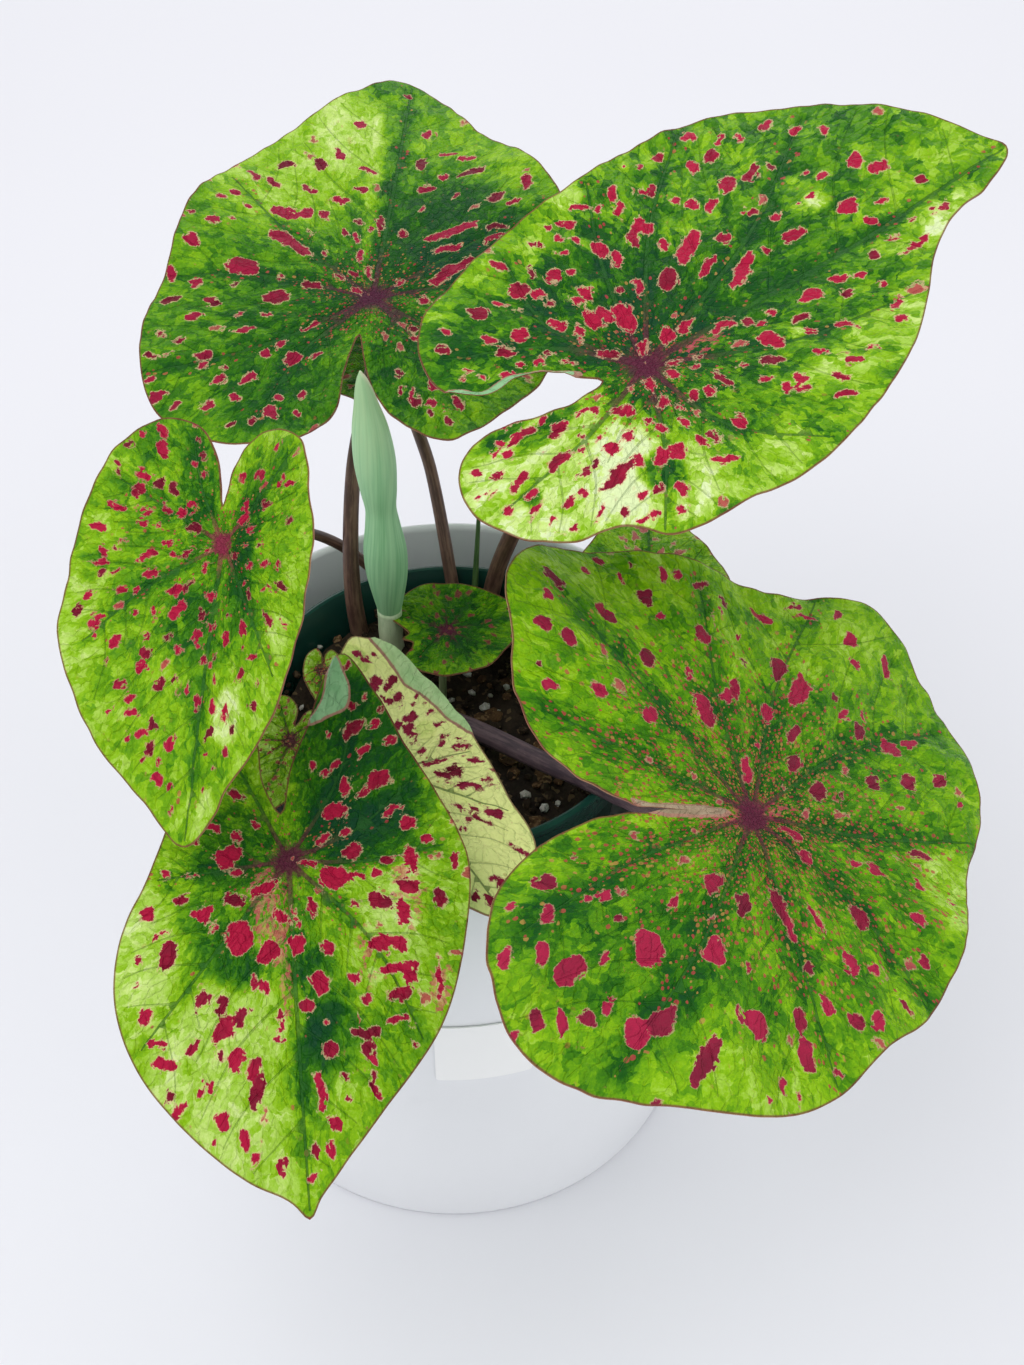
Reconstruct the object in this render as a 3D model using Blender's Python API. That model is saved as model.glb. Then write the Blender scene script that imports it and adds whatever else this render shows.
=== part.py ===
"""A potted caladium: peltate leaves on petioles, a furled spathe, soil, a nursery pot
and a plain white cover pot.

Lengths are in millimetres and are turned into Blender metres where a mesh is made.
The origin is on the floor, under the middle of the pots. +Z is up and -Y is the front.
"""

import math
from dataclasses import dataclass

import bmesh
import bpy
from mathutils import Vector
from mathutils.geometry import delaunay_2d_cdt

MM = 0.001
GAP = 0.3

# Cover pot
COVER_RADIUS = 102.5
COVER_HEIGHT = 219.0
COVER_WALL = 4.0
COVER_FLOOR = 4.0
STAND_RADIUS = 46.0
STAND_WALL = 4.0
STAND_TOP = 66.0

# Nursery pot
NURSERY_RIM_RADIUS = 76.0
NURSERY_RIM_HEIGHT = 11.0
NURSERY_RIM_WIDTH = 3.2
NURSERY_TOP_RADIUS = 72.8
NURSERY_BASE_RADIUS = 53.0
NURSERY_WALL = 1.6
NURSERY_BASE = STAND_TOP + GAP
DRAIN_COUNT = 6
DRAIN_RADIUS = 5.0
DRAIN_RING = 30.0

# Soil and the tuber in it
SOIL_TOP = 190.0
SOIL_MOUND = 4.0
TUBER_CENTRE = (-4.0, 36.0, 150.0)
TUBER_SEMI_AXES = (25.5, 25.5, 15.0)

# Blank label on the front of the cover pot
LABEL_WIDTH = 38.0
LABEL_HEIGHT = 36.0
LABEL_MIDDLE_Z = 128.0
LABEL_BEARING = -82.0
LABEL_THICKNESS = 0.6

# Sheets and turned bodies
BLADE_THICKNESS = 0.8
GRID_CLEARANCE = 0.45
POT_SIDES = 48
CURVE_STEPS = 40

WHITE = (0.82, 0.82, 0.83)
PAPER = (0.87, 0.87, 0.86)
DARK_GREEN = (0.01, 0.06, 0.045)
SOIL_BROWN = (0.05, 0.032, 0.022)
TUBER_BROWN = (0.16, 0.09, 0.05)
PETIOLE_BROWN = (0.16, 0.075, 0.06)
PETIOLE_PURPLE = (0.11, 0.06, 0.075)
PETIOLE_GREEN = (0.30, 0.42, 0.20)
SPATHE_GREEN = (0.33, 0.55, 0.36)
LEAF_GREEN = (0.13, 0.36, 0.03)
LEAF_LIME = (0.33, 0.56, 0.09)
LEAF_PALE = (0.52, 0.65, 0.24)


@dataclass(frozen=True)
class Blade:
    """A peltate blade, with its outline in its own plane.

    u runs from the petiole junction to the tip and v to the blade's left. The outline
    starts at the floor of the notch between the basal lobes and goes round by the left.
    """

    name: str
    junction: tuple
    azimuth: float
    pitch: float
    roll: float
    outline: tuple
    colour: tuple
    fold: float = 0.10
    droop: float = 8.0
    lobe_droop: float = 0.0
    side_droop: float = 6.0
    wave: float = 2.0
    waves: int = 5
    edge_points: int = 44
    step: float = 20.0


def heart(length, width, lobe, notch=0.3):
    """Outline of a plain heart-shaped blade, from its reach each way of the junction."""
    half = width / 2
    left_side = [
        (-notch * lobe, 0.0),
        (-0.75 * lobe, 0.10 * half),
        (-lobe, 0.38 * half),
        (-0.80 * lobe, 0.75 * half),
        (-0.25 * lobe, 0.98 * half),
        (0.22 * length, 0.95 * half),
        (0.55 * length, 0.66 * half),
        (0.82 * length, 0.28 * half),
        (length, 0.0),
    ]
    right_side = [(u, -v) for u, v in left_side[1:-1]]
    return tuple(left_side + right_side[::-1])


BACK_LEFT = (
    (-20, 4), (-39, 8), (-62, 11), (-76, 24), (-77, 48), (-63, 76), (-30, 86), (10, 82), (58, 74),
    (88, 56), (108, 37), (130, 18), (146, -4), (135, -20), (109, -39), (86, -58), (62, -71), (22, -78),
    (-20, -75), (-46, -65), (-64, -51), (-75, -34), (-64, -14), (-46, -2), (-31, 2),
)
UPPER_RIGHT = (
    (-15, 5), (-24, 16), (-36, 24), (-47, 25), (-56, 36), (-54, 51), (-43, 63), (-18, 71), (33, 75),
    (72, 76), (97, 73), (127, 55), (149, 37), (166, 14), (177, -6), (154, -16), (130, -20), (112, -28),
    (93, -41), (69, -55), (42, -64), (14, -68), (-16, -64), (-42, -56), (-50, -43), (-66, -36),
    (-78, -22), (-81, -6), (-75, 8), (-63, 15), (-51, 14), (-38, 8), (-27, 5),
)
HANGING_LEFT = (
    (-13, -2), (-26, 0), (-37, 8), (-33, 29), (-15, 36), (8, 42), (34, 39), (57, 32), (80, 18),
    (100, 0), (86, -17), (72, -32), (54, -43), (34, -50), (12, -51), (-14, -47), (-34, -39), (-42, -28),
    (-40, -14), (-26, -5),
)
FRONT_LEFT = (
    (-17, -2), (-33, 2), (-47, 8), (-63, 14), (-76, 22), (-60, 33), (-38, 42), (-18, 52), (6, 60),
    (32, 57), (58, 48), (84, 27), (112, 0), (100, -22), (84, -39), (66, -52), (46, -58), (24, -56),
    (2, -46), (-22, -37), (-48, -30), (-60, -18), (-46, -9), (-28, -7),
)
LOWER_RIGHT = (
    (-10, 1), (-38, 6), (-54, 10), (-66, 19), (-72, 42), (-69, 70), (-66, 92), (-53, 105), (-25, 108),
    (4, 103), (30, 96), (52, 95), (73, 99), (90, 96), (100, 78), (105, 40), (101, 16), (96, -2),
    (84, -18), (72, -38), (58, -57), (40, -73), (20, -82), (0, -95), (-30, -101), (-60, -95),
    (-86, -85), (-104, -70), (-106, -50), (-96, -26), (-78, -10), (-58, -1), (-37, 1),
)
PALE_FOLDED = (
    (-14, 2), (-32, 10), (-52, 17), (-56, 25), (-44, 33), (-18, 36), (12, 34), (36, 29), (55, 25),
    (67, 12), (71, 0), (58, -11), (34, -17), (6, -18), (-14, -15), (-24, -8), (-20, -1),
)

BLADES = (
    Blade("blade_back_left", (-29, 113, 325), 89, 10, 0, BACK_LEFT, LEAF_GREEN, wave=3.0, waves=7),
    Blade("blade_upper_right", (69, 2, 375), 41, 10, 8, UPPER_RIGHT, LEAF_GREEN, droop=6, lobe_droop=3,
          wave=2.0, waves=6, edge_points=60),
    Blade("blade_hanging_left", (-70, -41, 335), -98, -33, 20, HANGING_LEFT, LEAF_LIME, fold=0.28,
          droop=5, side_droop=0, waves=6, step=15),
    Blade("blade_front_left", (-50, -107, 252), -84, -18, 0, FRONT_LEFT, LEAF_LIME, droop=16,
          side_droop=4, waves=6, step=17),
    Blade("blade_lower_right", (102, -115, 285), 17, -20, 12, LOWER_RIGHT, LEAF_GREEN, fold=0.05,
          lobe_droop=3, side_droop=5, wave=3.0, waves=9, edge_points=60),
    Blade("blade_pale", (-20, -58, 242), -51, -8, -4, PALE_FOLDED, LEAF_PALE, wave=1.5, edge_points=32,
          step=13),
    Blade("blade_low_centre", (-1, 34, 222), 17, 0, 0, heart(34, 47, 14), LEAF_GREEN, fold=0.08,
          wave=0.8, edge_points=26, step=11),
    Blade("blade_behind", (76, 3, 262), 87, -4, 0, heart(78, 64, 38), LEAF_GREEN, wave=1.5,
          edge_points=32, step=17),
    Blade("blade_small_left", (-57, -34, 232), -106, -5, 0, heart(38, 34, 19), LEAF_LIME, wave=0.8,
          edge_points=24, step=10),
    Blade("blade_tiny", (-50, 18, 216), -91, 0, 0, heart(19, 15, 10), LEAF_LIME, wave=0.3,
          edge_points=20, step=6),
    Blade("blade_hidden_back", (-20, 140, 282), 88, 0, 0, heart(100, 76, 38), LEAF_GREEN,
          edge_points=32, step=18),
)


@dataclass(frozen=True)
class Petiole:
    """A stem that rises from the soil to the underside of its blade."""

    name: str
    blade: str
    foot: tuple
    route: tuple
    foot_radius: float
    top_radius: float
    colour: tuple
    knee: float = 6.0


PETIOLES = (
    Petiole("petiole_back_left", "blade_back_left", (-36, 50), ((-39, 50, 228), (-37, 68, 275)), 4.0,
            2.6, PETIOLE_BROWN),
    Petiole("petiole_upper_right", "blade_upper_right", (13, 61),
            ((18, 64, 222), (27, 58, 257), (46, 40, 322)), 3.6, 2.6, PETIOLE_BROWN, knee=9.0),
    Petiole("petiole_hanging_left", "blade_hanging_left", (-8, 64),
            ((-20, 63, 211), (-38, 66, 232), (-62, 34, 276)), 2.4, 1.8, PETIOLE_BROWN),
    Petiole("petiole_front_left", "blade_front_left", (-28, 26),
            ((-40, 14, 222), (-50, -18, 243), (-50, -72, 239)), 3.4, 2.4, PETIOLE_PURPLE, knee=5.5),
    Petiole("petiole_lower_right", "blade_lower_right", (-10, 12),
            ((43, -33, 214), (70, -70, 237), (86, -97, 258)), 4.2, 3.0, PETIOLE_PURPLE, knee=6.0),
    Petiole("petiole_pale", "blade_pale", (-24, 14), ((-25, -10, 214),), 2.6, 1.8, PETIOLE_GREEN),
    Petiole("petiole_low_centre", "blade_low_centre", (-3, 24), ((-3, 28, 203),), 1.6, 1.2,
            PETIOLE_GREEN),
    Petiole("petiole_behind", "blade_behind", (23, 58), ((33, 55, 218), (57, 28, 233)), 2.6, 1.9,
            PETIOLE_BROWN, knee=9.0),
    Petiole("petiole_small_left", "blade_small_left", (-38, 6), ((-46, -10, 212),), 1.8, 1.3,
            PETIOLE_GREEN),
    Petiole("petiole_tiny", "blade_tiny", (-46, 24), ((-48, 22, 203),), 1.4, 1.0, PETIOLE_GREEN),
    Petiole("petiole_hidden_back", "blade_hidden_back", (3, 64), ((0, 67, 219), (-8, 95, 252)), 3.2,
            2.2, PETIOLE_BROWN),
)
PETIOLE_STEPS = 20
TUBER_PULL = 0.85
HOLE_DEPTH = 4.0

# Spathe on its peduncle, and the young sheath beside the stems
SPATHE_FOOT = (-24, 42)
SPATHE_LEAN = -2.0
PEDUNCLE_RADIUS = 5.0
PEDUNCLE_TOP = 226.0
SPATHE_PROFILE = (
    (0, 5.2), (8, 6.6), (20, 8.4), (32, 8.6), (44, 7.0), (52, 6.2), (62, 7.6), (76, 9.0), (90, 7.8),
    (102, 5.0), (110, 2.4), (116, 0.9),
)
SHEATH_FOOT = (8, 55.5)
SHEATH_TOP = (12, 80, 252)
SHEATH_RADIUS = 2.4


def clear_scene():
    """Remove whatever the scene holds at the start."""
    for item in list(bpy.data.objects):
        bpy.data.objects.remove(item, do_unlink=True)


def material(name, colour, roughness, metallic=0.0):
    """A plain Principled material."""
    found = bpy.data.materials.get(name)
    if found is None:
        found = bpy.data.materials.new(name)
        found.use_nodes = True
        shader = found.node_tree.nodes["Principled BSDF"]
        shader.inputs["Base Color"].default_value = (*colour, 1.0)
        shader.inputs["Roughness"].default_value = roughness
        shader.inputs["Metallic"].default_value = metallic
    return found


def add_mesh(name, verts, faces, finish, smooth=True):
    """Make an object from points in millimetres and its faces."""
    mesh = bpy.data.meshes.new(name)
    mesh.from_pydata([(x * MM, y * MM, z * MM) for x, y, z in verts], [], faces)
    mesh.validate()
    shape = bmesh.new()
    shape.from_mesh(mesh)
    bmesh.ops.remove_doubles(shape, verts=shape.verts, dist=1e-7)
    bmesh.ops.recalc_face_normals(shape, faces=shape.faces)
    shape.to_mesh(mesh)
    shape.free()
    if smooth:
        mesh.shade_smooth()
        mesh.set_sharp_from_angle(angle=math.radians(40))
    item = bpy.data.objects.new(name, mesh)
    bpy.context.scene.collection.objects.link(item)
    if finish is not None:
        mesh.materials.append(finish)
    return item


def lathe(name, profile, sides, finish):
    """Turn a closed profile of (radius, height) points, which may start and end on the axis."""
    verts = []
    rows = []
    for radius, height in profile:
        if radius == 0:
            rows.append([len(verts)] * sides)
            verts.append((0, 0, height))
            continue
        rows.append([len(verts) + k for k in range(sides)])
        for k in range(sides):
            turn = 2 * math.pi * k / sides
            verts.append((radius * math.cos(turn), radius * math.sin(turn), height))
    faces = []
    for row, after in zip(rows, rows[1:]):
        for k in range(sides):
            n = (k + 1) % sides
            corners = [row[k], row[n], after[n], after[k]]
            unique = list(dict.fromkeys(corners))
            if len(unique) > 2:
                faces.append(unique)
    return add_mesh(name, verts, faces, finish)


def fine_curve(points, closed=False):
    """Many points along a smooth curve through the given ones, with no overshoot where they crowd."""
    given = [Vector(p) for p in points]
    count = len(given)
    spans = count if closed else count - 1
    chords = [(given[(k + 1) % count] - given[k]).length for k in range(spans)]
    headings = []
    for k in range(count):
        before = given[k] - given[k - 1] if closed or k > 0 else given[1] - given[0]
        after = given[(k + 1) % count] - given[k] if closed or k < spans else before
        weight = before.length / (before.length + after.length)
        headings.append(before.normalized().lerp(after.normalized(), weight))
    result = []
    for k in range(spans):
        start, end = given[k], given[(k + 1) % count]
        out, into = headings[k] * chords[k], headings[(k + 1) % count] * chords[k]
        for i in range(CURVE_STEPS):
            t = i / CURVE_STEPS
            blend = t * t * (3 - 2 * t)
            result.append(start.lerp(end, blend) + out * (t * (1 - t) ** 2) - into * (t * t * (1 - t)))
    result.append(given[0] if closed else given[-1])
    return result


def even_points(points, count, closed=False):
    """Points at equal steps along the smooth curve through the given ones."""
    fine = fine_curve(points, closed)
    reach = [0.0]
    for a, b in zip(fine, fine[1:]):
        reach.append(reach[-1] + (b - a).length)
    result = []
    k = 0
    for i in range(count):
        want = reach[-1] * i / (count if closed else count - 1)
        while k < len(reach) - 2 and reach[k + 1] < want:
            k += 1
        part = (want - reach[k]) / (reach[k + 1] - reach[k])
        result.append(fine[k].lerp(fine[k + 1], part))
    return result


def blade_frame(blade):
    """Unit vectors of a blade: along the midrib, to its left and up from its face."""
    turn = math.radians(blade.azimuth)
    tilt = math.radians(blade.pitch)
    roll = math.radians(blade.roll)
    along = Vector((math.cos(tilt) * math.cos(turn), math.cos(tilt) * math.sin(turn), math.sin(tilt)))
    level = Vector((-math.sin(turn), math.cos(turn), 0))
    above = along.cross(level)
    left = math.cos(roll) * level + math.sin(roll) * above
    up = -math.sin(roll) * level + math.cos(roll) * above
    return along, left, up


def blade_lift(blade, u, v):
    """Height of the blade over its own plane: midrib fold, drooping tip, lobes and sides, waved edge."""
    folded = blade.fold * (math.sqrt(v * v + 25) - 5)
    tip = blade.droop * (max(u, 0) / 100) ** 2
    lobes = blade.lobe_droop * (min(u, 0) / 100) ** 2
    sides = blade.side_droop * (v / 100) ** 2
    waved = blade.wave * (u * u + v * v) / 100 ** 2 * math.sin(blade.waves * math.atan2(v, u) + 0.6)
    return folded - tip - lobes - sides + waved


def blade_point(blade, u, v):
    """Place in the part's frame of a point of the blade's upper face."""
    along, left, up = blade_frame(blade)
    return Vector(blade.junction) + along * u + left * v + up * blade_lift(blade, u, v)


def depth_inside(edge, u, v):
    """Distance of a point from a closed outline, below zero where the point is outside."""
    inside = False
    near = math.inf
    for a, b in zip(edge, edge[1:] + edge[:1]):
        if (a.y > v) != (b.y > v) and u < (b.x - a.x) * (v - a.y) / (b.y - a.y) + a.x:
            inside = not inside
        span = b - a
        part = min(1.0, max(0.0, ((u - a.x) * span.x + (v - a.y) * span.y) / span.length_squared))
        near = min(near, math.hypot(a.x + span.x * part - u, a.y + span.y * part - v))
    return near if inside else -near


def inner_grid(edge, step):
    """The petiole junction and points in staggered rows round it, all kept clear of the outline."""
    clear = GRID_CLEARANCE * step
    row_height = step * math.sqrt(0.75)
    low_u, high_u = min(p.x for p in edge), max(p.x for p in edge)
    low_v, high_v = min(p.y for p in edge), max(p.y for p in edge)
    kept = [Vector((0.0, 0.0))]
    for i in range(int((high_u - low_u) / row_height) + 1):
        for j in range(int((high_v - low_v) / step) + 1):
            u = low_u + i * row_height
            v = low_v + (j + 0.5 * (i % 2)) * step
            if depth_inside(edge, u, v) > clear and math.hypot(u, v) > clear:
                kept.append(Vector((u, v)))
    return kept


def build_blade(blade):
    """A thin waved blade, split into triangles alike on both faces."""
    outline = even_points([(u, v, 0) for u, v in blade.outline], blade.edge_points, closed=True)
    edge = [point.xy for point in outline]
    points = edge + inner_grid(edge, blade.step)
    flat, wires, faces, *rest = delaunay_2d_cdt(points, [], [list(range(len(edge)))], 1, 1e-4)
    top = [blade_point(blade, p.x, p.y) for p in flat]
    count = len(top)
    up = blade_frame(blade)[2]
    below = [p - up * BLADE_THICKNESS for p in top]
    under = [tuple(count + i for i in reversed(face)) for face in faces]
    sides = [side for face in faces for side in zip(face, face[1:] + face[:1])]
    rim = sorted(set(sides) - {(b, a) for a, b in sides})
    walls = [(b, a, count + a) for a, b in rim] + [(b, count + a, count + b) for a, b in rim]
    finish = material("leaf " + blade.name, blade.colour, 0.42)
    return add_mesh(blade.name, top + below, list(faces) + under + walls, finish)


def under_tuber_skin(x, y):
    """Height of the tuber's top face at a place in plan."""
    dx = (x - TUBER_CENTRE[0]) / TUBER_SEMI_AXES[0]
    dy = (y - TUBER_CENTRE[1]) / TUBER_SEMI_AXES[1]
    return TUBER_CENTRE[2] + TUBER_SEMI_AXES[2] * math.sqrt(max(0.0, 1 - dx * dx - dy * dy))


def root_point(foot, radius):
    """Where a stem that enters the soil at foot ends, just clear of the tuber's top."""
    x = TUBER_CENTRE[0] + TUBER_PULL * (foot[0] - TUBER_CENTRE[0])
    y = TUBER_CENTRE[1] + TUBER_PULL * (foot[1] - TUBER_CENTRE[1])
    distance = math.hypot(x - TUBER_CENTRE[0], y - TUBER_CENTRE[1])
    inner = max(distance - radius, 0) / max(distance, 0.001)
    near_x = TUBER_CENTRE[0] + (x - TUBER_CENTRE[0]) * inner
    near_y = TUBER_CENTRE[1] + (y - TUBER_CENTRE[1]) * inner
    return (x, y, under_tuber_skin(near_x, near_y) + 2 * GAP)


def petiole_route(petiole):
    """Centre line of a petiole, from the tuber to just under its blade."""
    blade = next(b for b in BLADES if b.name == petiole.blade)
    along, left, up = blade_frame(blade)
    seat = Vector(blade.junction) - up * (BLADE_THICKNESS + GAP)
    rise = (-up - along * 0.25).normalized()
    knee = seat + rise * (petiole.knee * petiole.top_radius)
    seat = seat + rise * (0.45 * petiole.top_radius)
    foot = (petiole.foot[0], petiole.foot[1], SOIL_TOP)
    return [root_point(petiole.foot, petiole.foot_radius), foot, *petiole.route, tuple(knee), tuple(seat)]


def tube(name, points, radii, finish):
    """A tapered round stem through the given points."""
    curve = bpy.data.curves.new(name, "CURVE")
    curve.dimensions = "3D"
    curve.bevel_depth = 1.0 * MM
    curve.bevel_resolution = 2
    curve.use_fill_caps = True
    line = curve.splines.new("POLY")
    line.points.add(len(points) - 1)
    for point, radius, dot in zip(points, radii, line.points):
        dot.co = (*(point * MM), 1.0)
        dot.radius = radius
    item = bpy.data.objects.new(name, curve)
    bpy.context.scene.collection.objects.link(item)
    if finish is not None:
        curve.materials.append(finish)
    return item


def cutter(item, collection):
    """Keep an object as a hidden mesh guide in a collection that a Boolean cuts with."""
    if item.type == "CURVE":
        bpy.context.view_layer.update()
        solid = bpy.data.meshes.new_from_object(item.evaluated_get(bpy.context.evaluated_depsgraph_get()))
        shape = bmesh.new()
        shape.from_mesh(solid)
        bmesh.ops.remove_doubles(shape, verts=shape.verts, dist=1e-6)
        bmesh.ops.recalc_face_normals(shape, faces=shape.faces)
        shape.to_mesh(solid)
        shape.free()
        name = item.name
        bpy.data.objects.remove(item, do_unlink=True)
        item = bpy.data.objects.new(name, solid)
    else:
        bpy.context.scene.collection.objects.unlink(item)
    collection.objects.link(item)
    item.hide_render = True
    item.display_type = "WIRE"


def build_cover_pot():
    """White cover pot with a rounded lip and a moulded ring inside, on which the nursery pot stands."""
    outer, inner = COVER_RADIUS, COVER_RADIUS - COVER_WALL
    lip = COVER_WALL / 2
    ring = (STAND_RADIUS + STAND_WALL / 2, STAND_RADIUS - STAND_WALL / 2)
    profile = [(0, 0), (outer - 3, 0), (outer - 0.8, 0.8), (outer, 3)]
    profile += [(outer, COVER_HEIGHT - lip), (outer - 0.6, COVER_HEIGHT - 0.6), (outer - lip, COVER_HEIGHT)]
    profile += [(inner + 0.6, COVER_HEIGHT - 0.6), (inner, COVER_HEIGHT - lip), (inner, COVER_FLOOR)]
    profile += [(ring[0], COVER_FLOOR), (ring[0], STAND_TOP), (ring[1], STAND_TOP), (ring[1], COVER_FLOOR)]
    profile += [(0, COVER_FLOOR)]
    return lathe("cover_pot", profile, POT_SIDES, material("white plastic", WHITE, 0.35))


def nursery_inner(height):
    """Inner radius of the nursery pot at a height over the floor."""
    share = (height - NURSERY_BASE) / (COVER_HEIGHT - NURSERY_BASE)
    return NURSERY_BASE_RADIUS + (NURSERY_TOP_RADIUS - NURSERY_BASE_RADIUS) * share - NURSERY_WALL


def build_nursery_pot():
    """Dark green nursery pot with a turned-down rim and drain holes."""
    top, base = COVER_HEIGHT, NURSERY_BASE
    band = top - NURSERY_RIM_HEIGHT
    rim = NURSERY_RIM_RADIUS
    profile = [(0, base), (NURSERY_BASE_RADIUS - 2, base), (NURSERY_BASE_RADIUS, base + 2)]
    profile += [(nursery_inner(band) + NURSERY_WALL, band), (rim - 0.8, band), (rim, band + 0.8)]
    profile += [(rim, top - 1.5), (rim - 1.0, top - 0.2), (rim - 2.0, top)]
    profile += [(rim - NURSERY_RIM_WIDTH, top - 1.2)]
    profile += [(nursery_inner(top - 6), top - 6), (nursery_inner(base + 2), base + 2)]
    profile += [(0, base + 2)]
    pot = lathe("nursery_pot", profile, POT_SIDES, material("green plastic", DARK_GREEN, 0.3))
    holes = bpy.data.collections.new("drain holes")
    bpy.context.scene.collection.children.link(holes)
    for k in range(DRAIN_COUNT):
        turn = 2 * math.pi * (k + 0.5) / DRAIN_COUNT
        place = (DRAIN_RING * math.cos(turn), DRAIN_RING * math.sin(turn))
        sides = 12
        circle = [(place[0] + DRAIN_RADIUS * math.cos(2 * math.pi * i / sides),
                   place[1] + DRAIN_RADIUS * math.sin(2 * math.pi * i / sides)) for i in range(sides)]
        verts = [(x, y, base - 3) for x, y in circle] + [(x, y, base + 5) for x, y in circle]
        faces = [tuple(range(sides)), tuple(range(sides, 2 * sides))]
        faces += [(i, (i + 1) % sides, sides + (i + 1) % sides, sides + i) for i in range(sides)]
        cutter(add_mesh("drain_%d" % k, verts, faces, None, smooth=False), holes)
    cut = pot.modifiers.new("drains", "BOOLEAN")
    cut.operation = "DIFFERENCE"
    cut.solver = "EXACT"
    cut.operand_type = "COLLECTION"
    cut.collection = holes
    return pot


def ellipsoid(name, centre, semi_axes, finish, sides=20, rows=9):
    """A flattened ball, for the tuber."""
    verts = [(centre[0], centre[1], centre[2] - semi_axes[2])]
    for r in range(1, rows):
        lean = math.pi * r / rows
        for k in range(sides):
            turn = 2 * math.pi * k / sides
            verts.append((centre[0] + semi_axes[0] * math.sin(lean) * math.cos(turn),
                          centre[1] + semi_axes[1] * math.sin(lean) * math.sin(turn),
                          centre[2] - semi_axes[2] * math.cos(lean)))
    verts.append((centre[0], centre[1], centre[2] + semi_axes[2]))
    faces = []
    for k in range(sides):
        n = (k + 1) % sides
        faces.append((0, 1 + n, 1 + k))
        for r in range(rows - 2):
            low = 1 + r * sides
            faces.append((low + k, low + n, low + sides + n, low + sides + k))
        last = 1 + (rows - 2) * sides
        faces.append((last + k, last + n, len(verts) - 1))
    return add_mesh(name, verts, faces, finish)


def soil_height(x, y):
    """Uneven top of the soil."""
    mound = SOIL_MOUND * (1 - (x * x + y * y) / 70 ** 2)
    broad = 1.2 * math.sin(0.11 * x + 1.3) * math.cos(0.09 * y)
    return SOIL_TOP - 2 + mound + broad + 0.7 * math.sin(0.23 * y + 0.4 * x)


def build_soil(holes):
    """Soil that fills the nursery pot, with a hole for each stem and the space of the tuber."""
    sides, rings = 32, 5
    bottom = NURSERY_BASE + 2 + GAP
    edge_top = SOIL_TOP - 3
    verts = [(0, 0, soil_height(0, 0))]
    for ring in range(1, rings + 1):
        radius = (nursery_inner(edge_top) - GAP) * ring / rings
        for k in range(sides):
            turn = 2 * math.pi * k / sides
            x, y = radius * math.cos(turn), radius * math.sin(turn)
            verts.append((x, y, edge_top if ring == rings else soil_height(x, y)))
    faces = []
    for k in range(sides):
        n = (k + 1) % sides
        faces.append((0, 1 + k, 1 + n))
        for ring in range(1, rings):
            low = 1 + (ring - 1) * sides
            faces.append((low + k, low + sides + k, low + sides + n, low + n))
    last = 1 + (rings - 1) * sides
    foot = len(verts)
    low_radius = nursery_inner(bottom) - GAP
    for k in range(sides):
        turn = 2 * math.pi * k / sides
        verts.append((low_radius * math.cos(turn), low_radius * math.sin(turn), bottom))
    for k in range(sides):
        n = (k + 1) % sides
        faces.append((last + k, foot + k, foot + n, last + n))
    faces.append(tuple(foot + k for k in range(sides)))
    soil = add_mesh("potting_soil", verts, faces, material("potting soil", SOIL_BROWN, 0.95))
    cut = soil.modifiers.new("holes", "BOOLEAN")
    cut.operation = "DIFFERENCE"
    cut.solver = "EXACT"
    cut.operand_type = "COLLECTION"
    cut.collection = holes
    return soil


def build_label():
    """Blank paper label on the front of the cover pot."""
    steps = 8
    inner = COVER_RADIUS + GAP
    span = LABEL_WIDTH / inner
    start = math.radians(LABEL_BEARING) - span / 2
    low, high = LABEL_MIDDLE_Z - LABEL_HEIGHT / 2, LABEL_MIDDLE_Z + LABEL_HEIGHT / 2
    verts = []
    for k in range(steps + 1):
        turn = start + span * k / steps
        outer = inner + LABEL_THICKNESS
        for radius, height in ((inner, low), (outer, low), (outer, high), (inner, high)):
            verts.append((radius * math.cos(turn), radius * math.sin(turn), height))
    faces = [(0, 1, 2, 3), tuple(4 * steps + i for i in range(4))]
    for k in range(steps):
        a, b = 4 * k, 4 * k + 4
        for i in range(4):
            j = (i + 1) % 4
            faces.append((a + i, a + j, b + j, b + i))
    return add_mesh("blank_label", verts, faces, material("label paper", PAPER, 0.6), smooth=False)


def turned_stem(name, route, profile, finish, sides=12):
    """A round body of changing radius along a route, closed at both ends."""
    verts = []
    for (x, y, z), radius in zip(route, profile):
        for k in range(sides):
            turn = 2 * math.pi * k / sides
            verts.append((x + radius * math.cos(turn), y + radius * math.sin(turn), z))
    faces = [tuple(range(sides))]
    for r in range(len(profile) - 1):
        low = r * sides
        for k in range(sides):
            n = (k + 1) % sides
            faces.append((low + k, low + n, low + sides + n, low + sides + k))
    faces.append(tuple((len(profile) - 1) * sides + k for k in range(sides)))
    return add_mesh(name, verts, faces, finish)


def build_spathe():
    """Furled spathe: a swollen tube, a waist and a pointed hood."""
    x, y = SPATHE_FOOT
    base = PEDUNCLE_TOP + GAP
    tall = SPATHE_PROFILE[-1][0]
    route = [(x + SPATHE_LEAN * h / tall, y, base + h) for h, r in SPATHE_PROFILE]
    profile = [r for h, r in SPATHE_PROFILE]
    return turned_stem("spathe", route, profile, material("spathe", SPATHE_GREEN, 0.5))


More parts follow.
